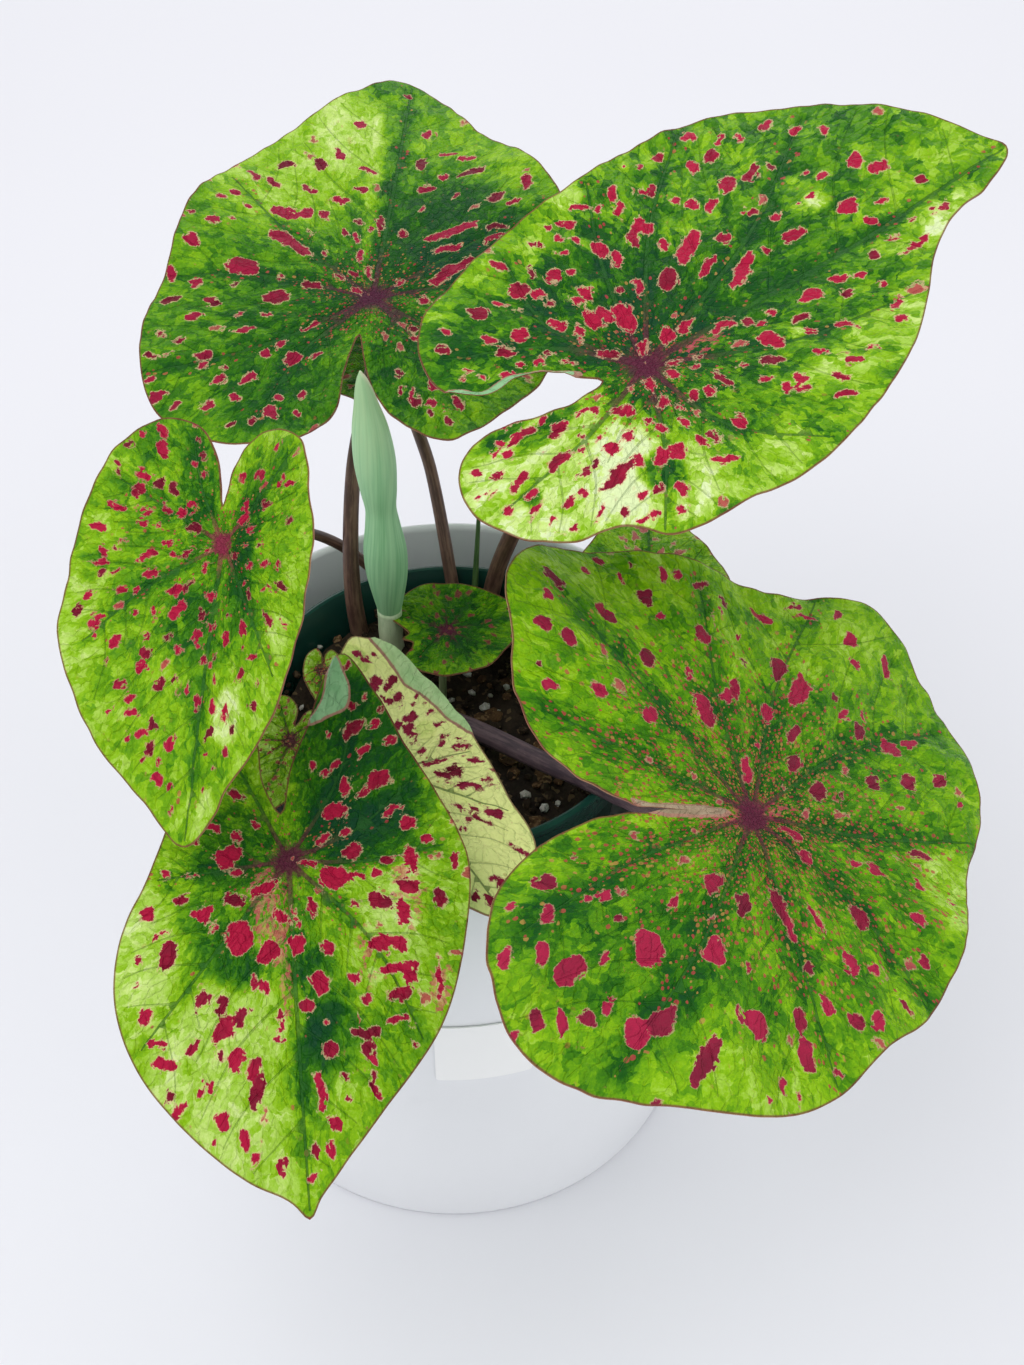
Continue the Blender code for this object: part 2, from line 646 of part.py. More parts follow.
def build_stems(holes):
    """Petioles, peduncle and sheath, and the guides that cut their holes in the soil."""
    jobs = []
    for petiole in PETIOLES:
        ends = (petiole.foot_radius, petiole.top_radius)
        jobs.append((petiole.name, petiole_route(petiole), ends, petiole.colour))
    x, y = SPATHE_FOOT
    peduncle = [root_point(SPATHE_FOOT, PEDUNCLE_RADIUS), (x, y, SOIL_TOP), (x, y, 208), (x, y, PEDUNCLE_TOP)]
    jobs.append(("peduncle", peduncle, (PEDUNCLE_RADIUS, PEDUNCLE_RADIUS), SPATHE_GREEN))
    sheath = [root_point(SHEATH_FOOT, SHEATH_RADIUS), (*SHEATH_FOOT, SOIL_TOP), SHEATH_TOP]
    jobs.append(("young_sheath", sheath, (SHEATH_RADIUS, 0.5), PETIOLE_GREEN))
    for name, route, ends, colour in jobs:
        points = even_points(route, PETIOLE_STEPS)
        radii = [ends[0] + (ends[1] - ends[0]) * k / (PETIOLE_STEPS - 1) for k in range(PETIOLE_STEPS)]
        tube(name, points, radii, material("stem " + name, colour, 0.5))
        deep = points[0] + (points[0] - points[1]).normalized() * HOLE_DEPTH
        wide = [radius + GAP for radius in radii]
        cutter(tube("hole_" + name, [deep, *points], [wide[0], *wide], None), holes)


def main():
    """Build the whole plant in its pots."""
    clear_scene()
    build_cover_pot()
    build_nursery_pot()
    build_label()
    holes = bpy.data.collections.new("soil holes")
    bpy.context.scene.collection.children.link(holes)
    build_stems(holes)
    ellipsoid("tuber", TUBER_CENTRE, TUBER_SEMI_AXES, material("tuber skin", TUBER_BROWN, 0.8))
    cutter(ellipsoid("hole_tuber", TUBER_CENTRE, [a + GAP for a in TUBER_SEMI_AXES], None), holes)
    build_soil(holes)
    build_spathe()
    for blade in BLADES:
        build_blade(blade)


main()
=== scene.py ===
"""Looks of a potted caladium: spotted leaves on mottled stalks, a furled spathe, soil and two pots.

Plans of leaves and stalks are in millimetres, as a gardener would measure them, and are turned to
metres where a mesh is made.
"""

from __future__ import annotations

import logging
import math
import random
from dataclasses import dataclass
from enum import Enum
from typing import Callable

import bmesh
import bpy
import numpy as np
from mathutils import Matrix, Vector, noise
from mathutils.geometry import delaunay_2d_cdt

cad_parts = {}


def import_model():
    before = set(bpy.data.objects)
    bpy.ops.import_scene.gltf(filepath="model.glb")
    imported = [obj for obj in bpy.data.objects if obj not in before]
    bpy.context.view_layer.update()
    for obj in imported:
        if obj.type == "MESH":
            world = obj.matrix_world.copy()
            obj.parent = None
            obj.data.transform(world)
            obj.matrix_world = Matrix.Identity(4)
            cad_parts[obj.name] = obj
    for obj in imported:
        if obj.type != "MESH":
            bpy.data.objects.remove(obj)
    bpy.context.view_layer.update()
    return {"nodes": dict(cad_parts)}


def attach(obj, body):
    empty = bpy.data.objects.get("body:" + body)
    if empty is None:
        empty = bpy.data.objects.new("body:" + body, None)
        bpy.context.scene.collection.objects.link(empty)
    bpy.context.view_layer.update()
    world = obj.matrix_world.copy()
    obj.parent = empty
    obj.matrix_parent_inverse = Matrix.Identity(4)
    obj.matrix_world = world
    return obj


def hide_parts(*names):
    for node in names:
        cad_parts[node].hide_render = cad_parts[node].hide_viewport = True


Colour = tuple[float, float, float]
Spot = tuple[float, float]
Place = tuple[float, float, float]
Row = tuple[float, ...]
Array = np.ndarray
Socket = bpy.types.NodeSocket
Piece = bpy.types.Object
Materials = list[bpy.types.Material]

MM = 0.001
BODY = "root"
UV_SPAN = 400.0
DECIMETRE = 100.0

log = logging.getLogger("caladium")


class Wire:
    """A number on its way through a material, which takes part in Python sums."""

    def __init__(self, paint: Paint, socket: Socket) -> None:
        """Hold the socket that gives the number."""
        self.paint = paint
        self.socket = socket

    def maths(self, operation: str, *others: Wire | float) -> Wire:
        """Put this number and others through one Math node.

        Args:
            operation: The Math node's operation.
            others: The node's further inputs.

        Returns:
            The node's result.
        """
        inputs = dict(enumerate([self, *others]))
        made = self.paint.node("ShaderNodeMath", {"operation": operation}, inputs)
        return Wire(self.paint, made.outputs[0])

    def __add__(self, other: Wire | float) -> Wire:
        """Sum."""
        return self.maths("ADD", other)

    __radd__ = __add__

    def __mul__(self, other: Wire | float) -> Wire:
        """Product."""
        return self.maths("MULTIPLY", other)

    __rmul__ = __mul__

    def __sub__(self, other: Wire | float) -> Wire:
        """Difference."""
        return self.maths("SUBTRACT", other)

    def __rsub__(self, other: float) -> Wire:
        """Difference from a plain number."""
        return self * -1.0 + other

    def __pow__(self, other: float) -> Wire:
        """Power."""
        return self.maths("POWER", other)

    def fade(self, low: float, high: float) -> Wire:
        """Rise smoothly from 0 at low to 1 at high, or fall where high is the smaller.

        Args:
            low: Where the result is 0.
            high: Where the result is 1.

        Returns:
            The share between 0 and 1.
        """
        if high < low:
            return 1.0 - self.fade(high, low)
        made = self.paint.node("ShaderNodeMapRange", {"interpolation_type": "SMOOTHSTEP"},
                               {"Value": self, "From Min": low, "From Max": high})
        return Wire(self.paint, made.outputs["Result"])


class Paint:
    """A material whose nodes are laid by plain calls."""

    def __init__(self, name: str, **settings: float) -> None:
        """Start a material.

        Args:
            name: The material's name.
            settings: Values of the shader's own sockets, with _ for a space.
        """
        self.material = bpy.data.materials.new(name)
        self.material.use_nodes = True
        self.tree = self.material.node_tree
        self.shader = self.tree.nodes["Principled BSDF"]
        for key, value in settings.items():
            title = key.replace("_", " ").title().replace("Ior", "IOR")
            self.shader.inputs[title].default_value = value

    def node(self, kind: str, settings: dict, inputs: dict) -> bpy.types.Node:
        """Add any node.

        Args:
            kind: The node's type.
            settings: The node's own options, set first.
            inputs: Values, wires or sockets for its inputs, by name or place.

        Returns:
            The node.
        """
        made = self.tree.nodes.new(kind)
        for key, value in settings.items():
            if key == "stops":
                self.set_stops(made.color_ramp, value)
            else:
                setattr(made, key, value)
        for key, value in inputs.items():
            socket = made.inputs[key]
            if isinstance(value, Wire):
                value = value.socket
            if isinstance(value, Socket):
                self.tree.links.new(value, socket)
            elif isinstance(value, tuple) and socket.type == "RGBA":
                socket.default_value = (*value, 1.0)
            else:
                socket.default_value = value
        return made

    def set_stops(self, ramp: bpy.types.ColorRamp, stops: tuple[tuple[float, Colour], ...]) -> None:
        """Lay a ramp's stops.

        Args:
            ramp: The ramp.
            stops: The place and the colour of each stop.
        """
        while len(ramp.elements) < len(stops):
            ramp.elements.new(1.0)
        for element, (at, colour) in zip(ramp.elements, stops):
            element.position = at
            element.color = (*colour, 1.0)

    def set_shader(self, name: str, value: Wire | Socket) -> None:
        """Link what varies over the surface to one of the shader's inputs."""
        source = value.socket if isinstance(value, Wire) else value
        self.tree.links.new(source, self.shader.inputs[name])

    def done(self, colour: Socket, roughness: Wire, height: Wire | None = None,
             strength: float = 0.0, distance: float = 0.0) -> bpy.types.Material:
        """Link what a surface is made of to the shader.

        Args:
            colour: The base colour.
            roughness: The roughness.
            height: Height of the fine relief, for a surface that has one.
            strength: Strength of the relief.
            distance: Depth of the relief in metres.

        Returns:
            The finished material.
        """
        self.set_shader("Base Color", colour)
        if height is not None:
            bump = self.node("ShaderNodeBump", {},
                             {"Height": height, "Strength": strength, "Distance": distance})
            self.set_shader("Normal", bump.outputs[0])
        self.set_shader("Roughness", roughness)
        return self.material

    def mix(self, share: Wire | float, low: Colour | Socket,
            high: Colour | Socket) -> Socket:
        """Blend two colours.

        Args:
            share: 0 gives the first colour and 1 the second.
            low: The first colour.
            high: The second colour.

        Returns:
            The blended colour's socket.
        """
        made = self.node("ShaderNodeMix", {"data_type": "RGBA"}, {0: share, 6: low, 7: high})
        return made.outputs[2]

    def ramp(self, place: Wire, stops: tuple[tuple[float, Colour], ...]) -> Socket:
        """The colour at a place on a ramp."""
        return self.node("ShaderNodeValToRGB", {"stops": stops}, {0: place}).outputs[0]

    def vector(self, operation: str, first: object, second: object) -> Socket:
        """Put two values through one Vector Math node.

        Args:
            operation: The node's operation.
            first: A vector.
            second: A vector, or for SCALE a number.

        Returns:
            The node's result.
        """
        key = "Scale" if operation == "SCALE" else 1
        made = self.node("ShaderNodeVectorMath", {"operation": operation}, {0: first, key: second})
        return made.outputs[0]

    def joined(self, x: Wire | float, y: Wire | float, z: Wire | float = 0.0) -> Socket:
        """A vector from its three parts."""
        return self.node("ShaderNodeCombineXYZ", {}, {0: x, 1: y, 2: z}).outputs[0]

    def split(self, value: Socket) -> tuple[Wire, Wire, Wire]:
        """The three parts of a vector or colour."""
        made = self.node("ShaderNodeSeparateXYZ", {}, {0: value})
        return Wire(self, made.outputs[0]), Wire(self, made.outputs[1]), Wire(self, made.outputs[2])

    def noise(self, where: Socket, scale: float, detail: float, rough: float) -> bpy.types.Node:
        """Fractal noise at a place; its outputs are Fac and Color."""
        return self.node("ShaderNodeTexNoise", {},
                         {"Vector": where, "Scale": scale, "Detail": detail, "Roughness": rough})

    def grain(self, where: Socket, scale: float, detail: float = 3.0,
              rough: float = 0.55) -> Wire:
        """Fractal noise as a number about 0, from about -0.3 to 0.3."""
        return Wire(self, self.noise(where, scale, detail, rough).outputs[0]) - 0.5

    def cells(self, where: Socket, scale: float) -> bpy.types.Node:
        """Cells round scattered points; its outputs are Distance and Color."""
        return self.node("ShaderNodeTexVoronoi", {"voronoi_dimensions": "2D"},
                         {"Vector": where, "Scale": scale})

    def patchwork(self, where: Socket, scale: float, part: int = 0) -> Wire:
        """One number for each cell, from -0.5 to 0.5; part tells three patchworks apart."""
        return self.split(self.cells(where, scale).outputs["Color"])[part] - 0.5

    def shaken(self, where: Socket, scale: float, amount: float) -> Socket:
        """Coordinates shaken by noise, for ragged edges."""
        shake = self.vector("SUBTRACT", self.noise(where, scale, 3.0, 0.6).outputs[1], (0.5, 0.5, 0.5))
        return self.vector("ADD", where, self.vector("SCALE", shake, amount))

    def attribute(self, name: str) -> Wire:
        """A number that the mesh carries."""
        return Wire(self, self.node("ShaderNodeAttribute", {"attribute_name": name}, {}).outputs["Fac"])

    def coordinates(self, kind: str) -> Socket:
        """The Object or UV coordinates."""
        return self.node("ShaderNodeTexCoord", {}, {}).outputs[kind]


NOISE_SEED = 7
FLUSHED = ((0.60, 0.30, 0.16), (0.55, 0.05, 0.11))
# Painted light: the pale yellow towards which the palest greens are lifted, as if lit through the blade.
SUNLIT = (1.0, 1.0, 0.36)
MARGIN = (0.17, 0.035, 0.035)
CURL_EDGE = (0.42, 0.22, 0.16)
DUST = ((0.42, 0.24, 0.06), (0.40, 0.035, 0.05))
UNDERSIDE = ((0.15, 0.34, 0.17), (0.28, 0.48, 0.25))
UNDER_SPOT = (0.38, 0.13, 0.16)
UNDER_RIB = ((0.30, 0.44, 0.24), (0.22, 0.09, 0.11))

# The greens of the mosaic, from the darkest patches to the palest, over this range of tones.
TONE_LOW = -0.5
TONE_HIGH = 1.5
GREENS = (
    (0.0, (0.003, 0.050, 0.016)),
    (0.16, (0.004, 0.066, 0.007)),
    (0.28, (0.011, 0.100, 0.002)),
    (0.40, (0.050, 0.200, 0.002)),
    (0.52, (0.130, 0.330, 0.002)),
    (0.64, (0.240, 0.470, 0.004)),
    (0.76, (0.380, 0.600, 0.080)),
    (0.88, (0.560, 0.730, 0.210)),
    (1.0, (0.680, 0.800, 0.420)),
)


@dataclass(frozen=True)
class LeafFinish:
    """The colours and markings of one blade's two faces.

    Lengths are in millimetres. The blade's mesh carries where the drawn markings lie, and the
    finish frays their edges and strews the finer ones. sunlit tells how far the palest parts
    are lightened towards a pale yellow, which is painted light, as of light coming through the blade.
    """

    seed: float
    mosaic: float = 0.55
    haze: float = 0.60
    fleck_step: float = 7.5
    fleck_share: float = 0.06
    fleck_size: float = 0.16
    dust: float = 0.25
    dust_reach: float = 40.0
    dust_step: float = 1.7
    shade: float = 0.25
    shade_width: float = 6.0
    stretch: float = 0.3
    spot: Colour = (0.41, 0.006, 0.042)
    spot_dark: Colour = (0.13, 0.005, 0.018)
    dark_share: float = 0.25
    halo: Colour = (0.70, 0.50, 0.28)
    halo_width: float = 0.30
    bloom: tuple[Colour, Colour] = ((0.20, 0.43, 0.20), (0.34, 0.58, 0.31))
    centre: Colour = (0.110, 0.012, 0.040)
    centre_reach: float = 8.0
    sunlit: float = 0.0
    rib: Colour = (0.020, 0.105, 0.015)

    def build(self, name: str) -> Materials:
        """Make the materials of the upper face, the underside and the margin."""
        return [self.upper(name), self.lower(name), self.margin(name)]

    def plan(self, paint: Paint) -> tuple[Wire, Socket]:
        """Read the places on the blade's plan.

        Args:
            paint: The material.

        Returns:
            Millimetres from the junction, and coordinates in decimetres drawn out along the veins.
        """
        u, v, _ = paint.split(paint.coordinates("UV"))
        u = (u - 0.5) * (UV_SPAN / DECIMETRE)
        v = (v - 0.5) * (UV_SPAN / DECIMETRE)
        reach = (u * u + v * v).maths("SQRT")
        squeeze = reach.maths("MAXIMUM", 0.04) ** (-self.stretch)
        apart = (self.seed, 0.7 * self.seed, 0.0)
        return reach * DECIMETRE, paint.vector("ADD", paint.joined(u * squeeze, v * squeeze), apart)

    def dots(self, paint: Paint, where: Socket, step: float, share: Wire | float,
             size: float, ragged: Wire) -> tuple[Wire, Wire, Wire]:
        """Strewn ragged dots.

        Args:
            paint: The material.
            where: Coordinates in decimetres.
            step: Spacing in millimetres.
            share: Share of the places that hold a dot.
            size: Mean radius as a share of the spacing.
            ragged: Noise about 0 that frays the dots.

        Returns:
            The dots, the dots with a rim round them, and a random number for each.
        """
        found = paint.cells(where, DECIMETRE / step)
        first, second, third = paint.split(found.outputs["Color"])
        if isinstance(share, Wire):
            there = (share - first).fade(-0.01, 0.01)
        else:
            there = first.fade(share, share - 0.01)
        gap = (0.4 + second * 1.2) * size - (Wire(paint, found.outputs["Distance"]) + ragged)
        return gap.fade(-0.02, 0.02) * there, gap.fade(-0.11, -0.06) * there, third

    def greens(self, paint: Paint, where: Socket) -> Socket:
        """The mosaic of greens under the spots.

        Args:
            paint: The material.
            where: Coordinates in decimetres.

        Returns:
            The colour.
        """
        ragged = paint.shaken(paint.shaken(where, 8.0, 0.12), 40.0, 0.04)
        large = paint.patchwork(ragged, 8.0)
        middle = paint.patchwork(ragged, 20.0, 1)
        small = paint.patchwork(ragged, 48.0, 2)
        mosaic = (large * 0.3 + middle * 0.55 + small * 0.6) * self.mosaic
        tone = paint.attribute("tone") + mosaic + paint.grain(where, 90.0, 4.0, 0.75) * self.haze
        main = paint.attribute("main") + paint.grain(where, 14.0, 4.0) * 8.0
        tone = tone - main.fade(self.shade_width, 0.0) * self.shade
        greens = paint.ramp((tone - TONE_LOW) * (1.0 / (TONE_HIGH - TONE_LOW)), GREENS)
        if not self.sunlit:
            return greens
        # Painted light: the palest tones are mixed towards SUNLIT, a painted glow of light coming through
        # the blade.
        return paint.mix(tone.fade(0.6, 1.2) * self.sunlit, greens, SUNLIT)

    def upper(self, name: str) -> bpy.types.Material:
        """The upper face: greens, dust, veins, crimson spots with pale rims, margin and curls.

        Args:
            name: The blade's name.

        Returns:
            The material.
        """
        paint = Paint(name + "_upper", specular_ior_level=0.1)
        reach, where = self.plan(paint)
        fray = paint.grain(where, 34.0, 5.0, 0.75)
        blocks = paint.patchwork(paint.shaken(where, 30.0, 0.03), 60.0)
        veins = paint.attribute("rib").fade(1.0, 0.5)
        colour = self.veined(paint, self.greens(paint, where), reach, where, fray, blocks, veins)
        colour = self.spotted(paint, colour, where, fray, blocks)

        colour = paint.mix(paint.attribute("edge").fade(0.8, 0.3) * 0.8, colour, MARGIN)
        curl = paint.attribute("curl") + fray * 0.6
        bloom = paint.mix(paint.grain(where, 12.0, 4.0).fade(-0.2, 0.2), *self.bloom)
        colour = paint.mix(curl.fade(-0.3, 0.1), colour, bloom)
        colour = paint.mix(curl.fade(-0.9, -0.5) * curl.fade(0.2, -0.1), colour, CURL_EDGE)

        net = paint.node("ShaderNodeTexVoronoi",
                         {"voronoi_dimensions": "2D", "feature": "DISTANCE_TO_EDGE"},
                         {"Vector": paint.shaken(where, 9.0, 0.1), "Scale": 24.0})
        height = Wire(paint, net.outputs[0]).fade(0.0, 0.18) * 0.5 + paint.grain(where, 80.0, 3.0) * 0.6
        height = height + paint.grain(where, 14.0, 3.0) * 2.5 - veins * 0.5
        return paint.done(colour, paint.grain(where, 30.0, 3.0) * 0.25 + 0.40, height, 0.8, 0.0009)

    def veined(self, paint: Paint, colour: Socket, reach: Wire, where: Socket,
               fray: Wire, blocks: Wire, veins: Wire) -> Socket:
        """Lay dust, flushes, the centre and the veins over the greens.

        Args:
            paint: The material.
            colour: The greens.
            reach: Distance from the junction in millimetres.
            where: Coordinates in decimetres.
            fray: Noise about 0 that frays edges.
            blocks: Small blocks about 0 that break edges.
            veins: Where the veins are.

        Returns:
            The colour.
        """
        main = paint.attribute("main")
        near = reach.fade(self.dust_reach, 5.0) + main.fade(8.0, 0.0) * 0.3
        dust, _, pick = self.dots(paint, where, self.dust_step, near * self.dust, 0.30, fray * 0.7)
        colour = paint.mix(dust * 0.75, colour, paint.mix(pick.fade(0.2, 0.5), *DUST))
        flush = (paint.attribute("flush") * 0.8 + fray * 1.6 + blocks * 0.8).fade(0.45, 0.8)
        flushed = paint.mix((fray + blocks * 0.4).fade(-0.1, 0.2), *FLUSHED)
        colour = paint.mix(flush * 0.7, colour, flushed)
        frayed = reach + fray * 10.0
        colour = paint.mix(frayed.fade(self.centre_reach, 3.0) * 0.85, colour, self.centre)
        purple = frayed.fade(self.centre_reach * 3.0, self.centre_reach)
        strength = veins * (main.fade(3.0, 0.5) * 0.4 + 0.3)
        return paint.mix(strength, colour, paint.mix(purple, self.rib, self.centre))

    def spotted(self, paint: Paint, colour: Socket, where: Socket,
                fray: Wire, blocks: Wire) -> Socket:
        """Lay the strewn flecks and the drawn marks, with their rims, over a colour.

        Args:
            paint: The material.
            colour: The colour below.
            where: Coordinates in decimetres.
            fray: Noise about 0 that frays edges.
            blocks: Small blocks about 0 that break edges.

        Returns:
            The colour.
        """
        fuzz = paint.grain(where, 110.0, 4.0, 0.7)
        mark = paint.attribute("mark") + fray * 2.8 + blocks * 1.1 + fuzz * 1.6
        clear = mark.fade(-1.5, -2.5)
        flecks, fleck_rim, _ = self.dots(paint, paint.shaken(where, 11.0, 0.08), self.fleck_step,
                                         self.fleck_share, self.fleck_size, fray * 0.9 + blocks * 0.12)
        colour = paint.mix(fleck_rim * clear * 0.6, colour, self.halo)
        colour = paint.mix(flecks * clear * 0.8, colour, self.spot)
        mean = 0.5 - self.dark_share
        dark = (paint.grain(where, 9.0, 2.0) + paint.attribute("pick") - 0.5).fade(mean - 0.3, mean + 0.5)
        spot = paint.mix(dark, self.spot, self.spot_dark)
        spot = paint.mix((fray + blocks * 0.3).fade(0.05, 0.3) * 0.4, spot, self.spot_dark)
        rim = mark.fade(-self.halo_width - 0.3, -self.halo_width + 0.1)
        colour = paint.mix(rim * 0.7, colour, self.halo)
        return paint.mix(mark.fade(-0.15, 0.15), colour, spot)

    def lower(self, name: str) -> bpy.types.Material:
        """The underside: bluish pale green, with raised veins and the spots showing through.

        Args:
            name: The blade's name.

        Returns:
            The material.
        """
        paint = Paint(name + "_lower", specular_ior_level=0.3)
        reach, where = self.plan(paint)
        tone = paint.grain(where, 8.0, 4.0, 0.6)
        colour = paint.mix(tone.fade(-0.2, 0.2), *UNDERSIDE)
        mark = paint.attribute("mark") + paint.grain(where, 34.0, 5.0, 0.75) * 5.0
        colour = paint.mix(mark.fade(-0.3, 0.5) * 0.5, colour, UNDER_SPOT)
        veins = paint.attribute("rib").fade(1.3, 0.6)
        colour = paint.mix(veins * 0.8, colour, paint.mix(reach.fade(60.0, 15.0), *UNDER_RIB))
        height = veins + paint.grain(where, 70.0, 3.0) * 0.4
        return paint.done(colour, tone * 0.2 + 0.58, height, 0.5, 0.0005)

    def margin(self, name: str) -> bpy.types.Material:
        """The thin coloured rim of the blade.

        Args:
            name: The blade's name.

        Returns:
            The material.
        """
        paint = Paint(name + "_margin", specular_ior_level=0.3)
        share = paint.grain(paint.coordinates("Object"), 60.0).fade(-0.2, 0.2)
        return paint.done(paint.mix(share, (0.24, 0.06, 0.05), (0.42, 0.22, 0.12)), share * 0.1 + 0.45)


class Shine(Enum):
    """How a stalk's skin takes the light."""

    WAXY = 0.34
    SATIN = 0.46
    BLOOM = 0.60


@dataclass(frozen=True)
class StalkFinish:
    """Skin of a stalk: two colours in streaks along it, with flecks and a paler foot."""

    name: str
    slot: str
    low: Colour
    high: Colour
    fleck: Colour
    foot: Colour
    flecks: float = 0.35
    shine: Shine = Shine.SATIN

    def build(self) -> Materials:
        """Make the skin's material, whose pattern runs along the piece's own map.

        Returns:
            The one material, in a list.
        """
        paint = Paint("skin_" + self.name, specular_ior_level=0.35)
        around, along, _ = paint.split(paint.coordinates("UV"))
        turn = around * (2 * math.pi)
        where = paint.joined(turn.maths("COSINE") * 0.5, turn.maths("SINE") * 0.5, along * 3.0)
        streaks = paint.grain(where, 3.0, 5.0, 0.65)
        long_streaks = paint.grain(paint.vector("MULTIPLY", where, (1.0, 1.0, 0.25)), 5.0, 5.0, 0.6)
        colour = paint.mix((streaks + long_streaks).fade(-0.18, 0.2), self.low, self.high)
        specks = (paint.grain(where, 16.0, 4.0, 0.7) + streaks * 0.4).fade(0.08, 0.2)
        colour = paint.mix(specks * self.flecks, colour, self.fleck)
        colour = paint.mix((along + streaks * 0.1).fade(0.62, 0.40), colour, self.foot)
        height = long_streaks + paint.grain(where, 30.0) * 0.5
        return [paint.done(colour, streaks * 0.25 + self.shine.value, height, 0.3, 0.0006)]


@dataclass(frozen=True)
class SpatheFinish:
    """Skin of the spathe: bluish bloom over green, fine streaks and a cream edge near the tip."""

    low: Colour = (0.27, 0.58, 0.29)
    high: Colour = (0.43, 0.74, 0.42)
    tip: Colour = (0.52, 0.66, 0.36)
    cream: Colour = (0.78, 0.76, 0.55)

    def build(self) -> Materials:
        """Make the skin's material.

        Returns:
            The one material, in a list.
        """
        paint = Paint("skin_spathe", specular_ior_level=0.3)
        around, along, _ = paint.split(paint.coordinates("UV"))
        where = paint.joined(around * 3.0, along * 0.6)
        streaks = paint.grain(paint.vector("MULTIPLY", where, (6.0, 1.0, 1.0)), 3.0, 5.0, 0.6)
        cloud = paint.grain(where, 4.0, 3.0)
        colour = paint.mix((streaks + cloud).fade(-0.25, 0.25), self.low, self.high)
        high_up = (along * 0.5 + 0.5 + cloud * 0.3).fade(0.80, 0.98)
        colour = paint.mix(high_up * 0.5, colour, self.tip)
        seam = (paint.attribute("seam") + streaks * 4.0).fade(5.0, 1.0)
        colour = paint.mix(seam * (along + cloud * 0.2).fade(0.62, 0.86), colour, self.cream)
        return [paint.done(colour, cloud * 0.2 + 0.55, streaks, 0.35, 0.0005)]


@dataclass(frozen=True)
class PotFinish:
    """Moulded plastic: nearly one colour, with faint clouding, fine grain and rubbed places."""

    name: str
    base: Colour
    worn: Colour
    roughness: float
    grain: float

    def build(self) -> Materials:
        """Make the plastic's material.

        Returns:
            The one material, in a list.
        """
        paint = Paint("plastic_" + self.name, specular_ior_level=0.5)
        where = paint.coordinates("Object")
        cloud = paint.grain(where, 9.0, 4.0)
        rubbed = (paint.grain(where, 40.0, 5.0, 0.7) + cloud * 0.5).fade(0.10, 0.3)
        colour = paint.mix(cloud.fade(-0.3, 0.3) * 0.5 + rubbed * 0.3, self.base, self.worn)
        roughness = rubbed * 0.18 + cloud * 0.1 + self.roughness
        return [paint.done(colour, roughness, paint.grain(where, 900.0, 2.0), self.grain, 0.0002)]


@dataclass(frozen=True)
class GroundFinish:
    """A crumbly or woody stuff of three colours, with coarse relief."""

    name: str
    dark: Colour
    middle: Colour
    pale: Colour
    scale: float
    pale_share: float = 0.2

    def build(self) -> Materials:
        """Make the stuff's material.

        Returns:
            The one material, in a list.
        """
        paint = Paint("ground_" + self.name, specular_ior_level=0.2)
        where = paint.coordinates("Object")
        cloud = paint.grain(where, self.scale, 6.0, 0.7)
        found = paint.node("ShaderNodeTexVoronoi", {}, {"Vector": where, "Scale": self.scale * 6.0})
        bits = paint.split(found.outputs["Color"])[0]
        colour = paint.mix(cloud.fade(-0.2, 0.2), self.dark, self.middle)
        pale = bits.fade(1.0 - self.pale_share, 1.05 - self.pale_share)
        colour = paint.mix(pale * 0.7, colour, self.pale)
        height = cloud + Wire(paint, found.outputs["Distance"]) * 0.6
        return [paint.done(colour, cloud * 0.2 + 0.9, height, 0.8, 0.001)]


@dataclass(frozen=True)
class PaperFinish:
    """Plain paper with a faint tooth."""

    base: Colour = (0.97, 0.97, 0.96)
    soiled: Colour = (0.90, 0.89, 0.87)

    def build(self) -> Materials:
        """Make the paper's material.

        Returns:
            The one material, in a list.
        """
        paint = Paint("paper_label", specular_ior_level=0.3)
        where = paint.coordinates("Object")
        fibres = paint.grain(where, 700.0, 4.0, 0.7)
        soil = paint.grain(where, 60.0, 3.0).fade(0.05, 0.3) * 0.25
        colour = paint.mix(soil, self.base, self.soiled)
        return [paint.done(colour, fibres * 0.1 + 0.55, fibres, 0.25, 0.0001)]


def smooth_curve(points: Array, closed: bool, steps: int = 24) -> Array:
    """Many points along a smooth curve through the given ones.

    Args:
        points: The points to pass through, one in each row.
        closed: Whether the curve returns to its start.
        steps: Points for each given one.

    Returns:
        The curve's points; an open curve's last one is the last given.
    """
    count = len(points)
    after = np.roll(points, -1, axis=0) - points
    if not closed:
        after[-1] = after[-2]
    before = np.roll(after, 1, axis=0)
    if not closed:
        before[0] = after[0]
    long_after = np.linalg.norm(after, axis=1, keepdims=True)
    long_before = np.linalg.norm(before, axis=1, keepdims=True)
    weight = long_before / (long_before + long_after)
    heading = before / long_before * (1 - weight) + after / long_after * weight
    t = (np.arange(steps) / steps)[:, None]
    blend = t * t * (3 - 2 * t)
    rows = []
    for k in range(count if closed else count - 1):
        follower = (k + 1) % count
        chord = long_after[k]
        curve = points[k] + (points[follower] - points[k]) * blend + heading[k] * chord * t * (1 - t) ** 2
        rows.append(curve - heading[follower] * chord * t * t * (1 - t))
    if not closed:
        rows.append(points[-1:])
    return np.concatenate(rows)


def ringed(loop: Array) -> Array:
    """A loop's points, with the first one again at the end."""
    return np.vstack([loop, loop[:1]])


def lengths(line: Array) -> Array:
    """How far along a line of points each of them lies."""
    return np.concatenate([[0.0], np.cumsum(np.linalg.norm(np.diff(line, axis=0), axis=1))])


def spaced(points: Array, step: float, closed: bool) -> Array:
    """Points at even steps along a line of points.

    Args:
        points: The line.
        step: The spacing wanted, which is fitted to the line's length.
        closed: Whether the line returns to its start.

    Returns:
        The even points.
    """
    line = ringed(points) if closed else points
    reach = lengths(line)
    count = max(3, round(reach[-1] / step))
    wanted = np.linspace(0, reach[-1], count + 1)
    if closed:
        wanted = wanted[:-1]
    return np.column_stack([np.interp(wanted, reach, line[:, i]) for i in range(line.shape[1])])


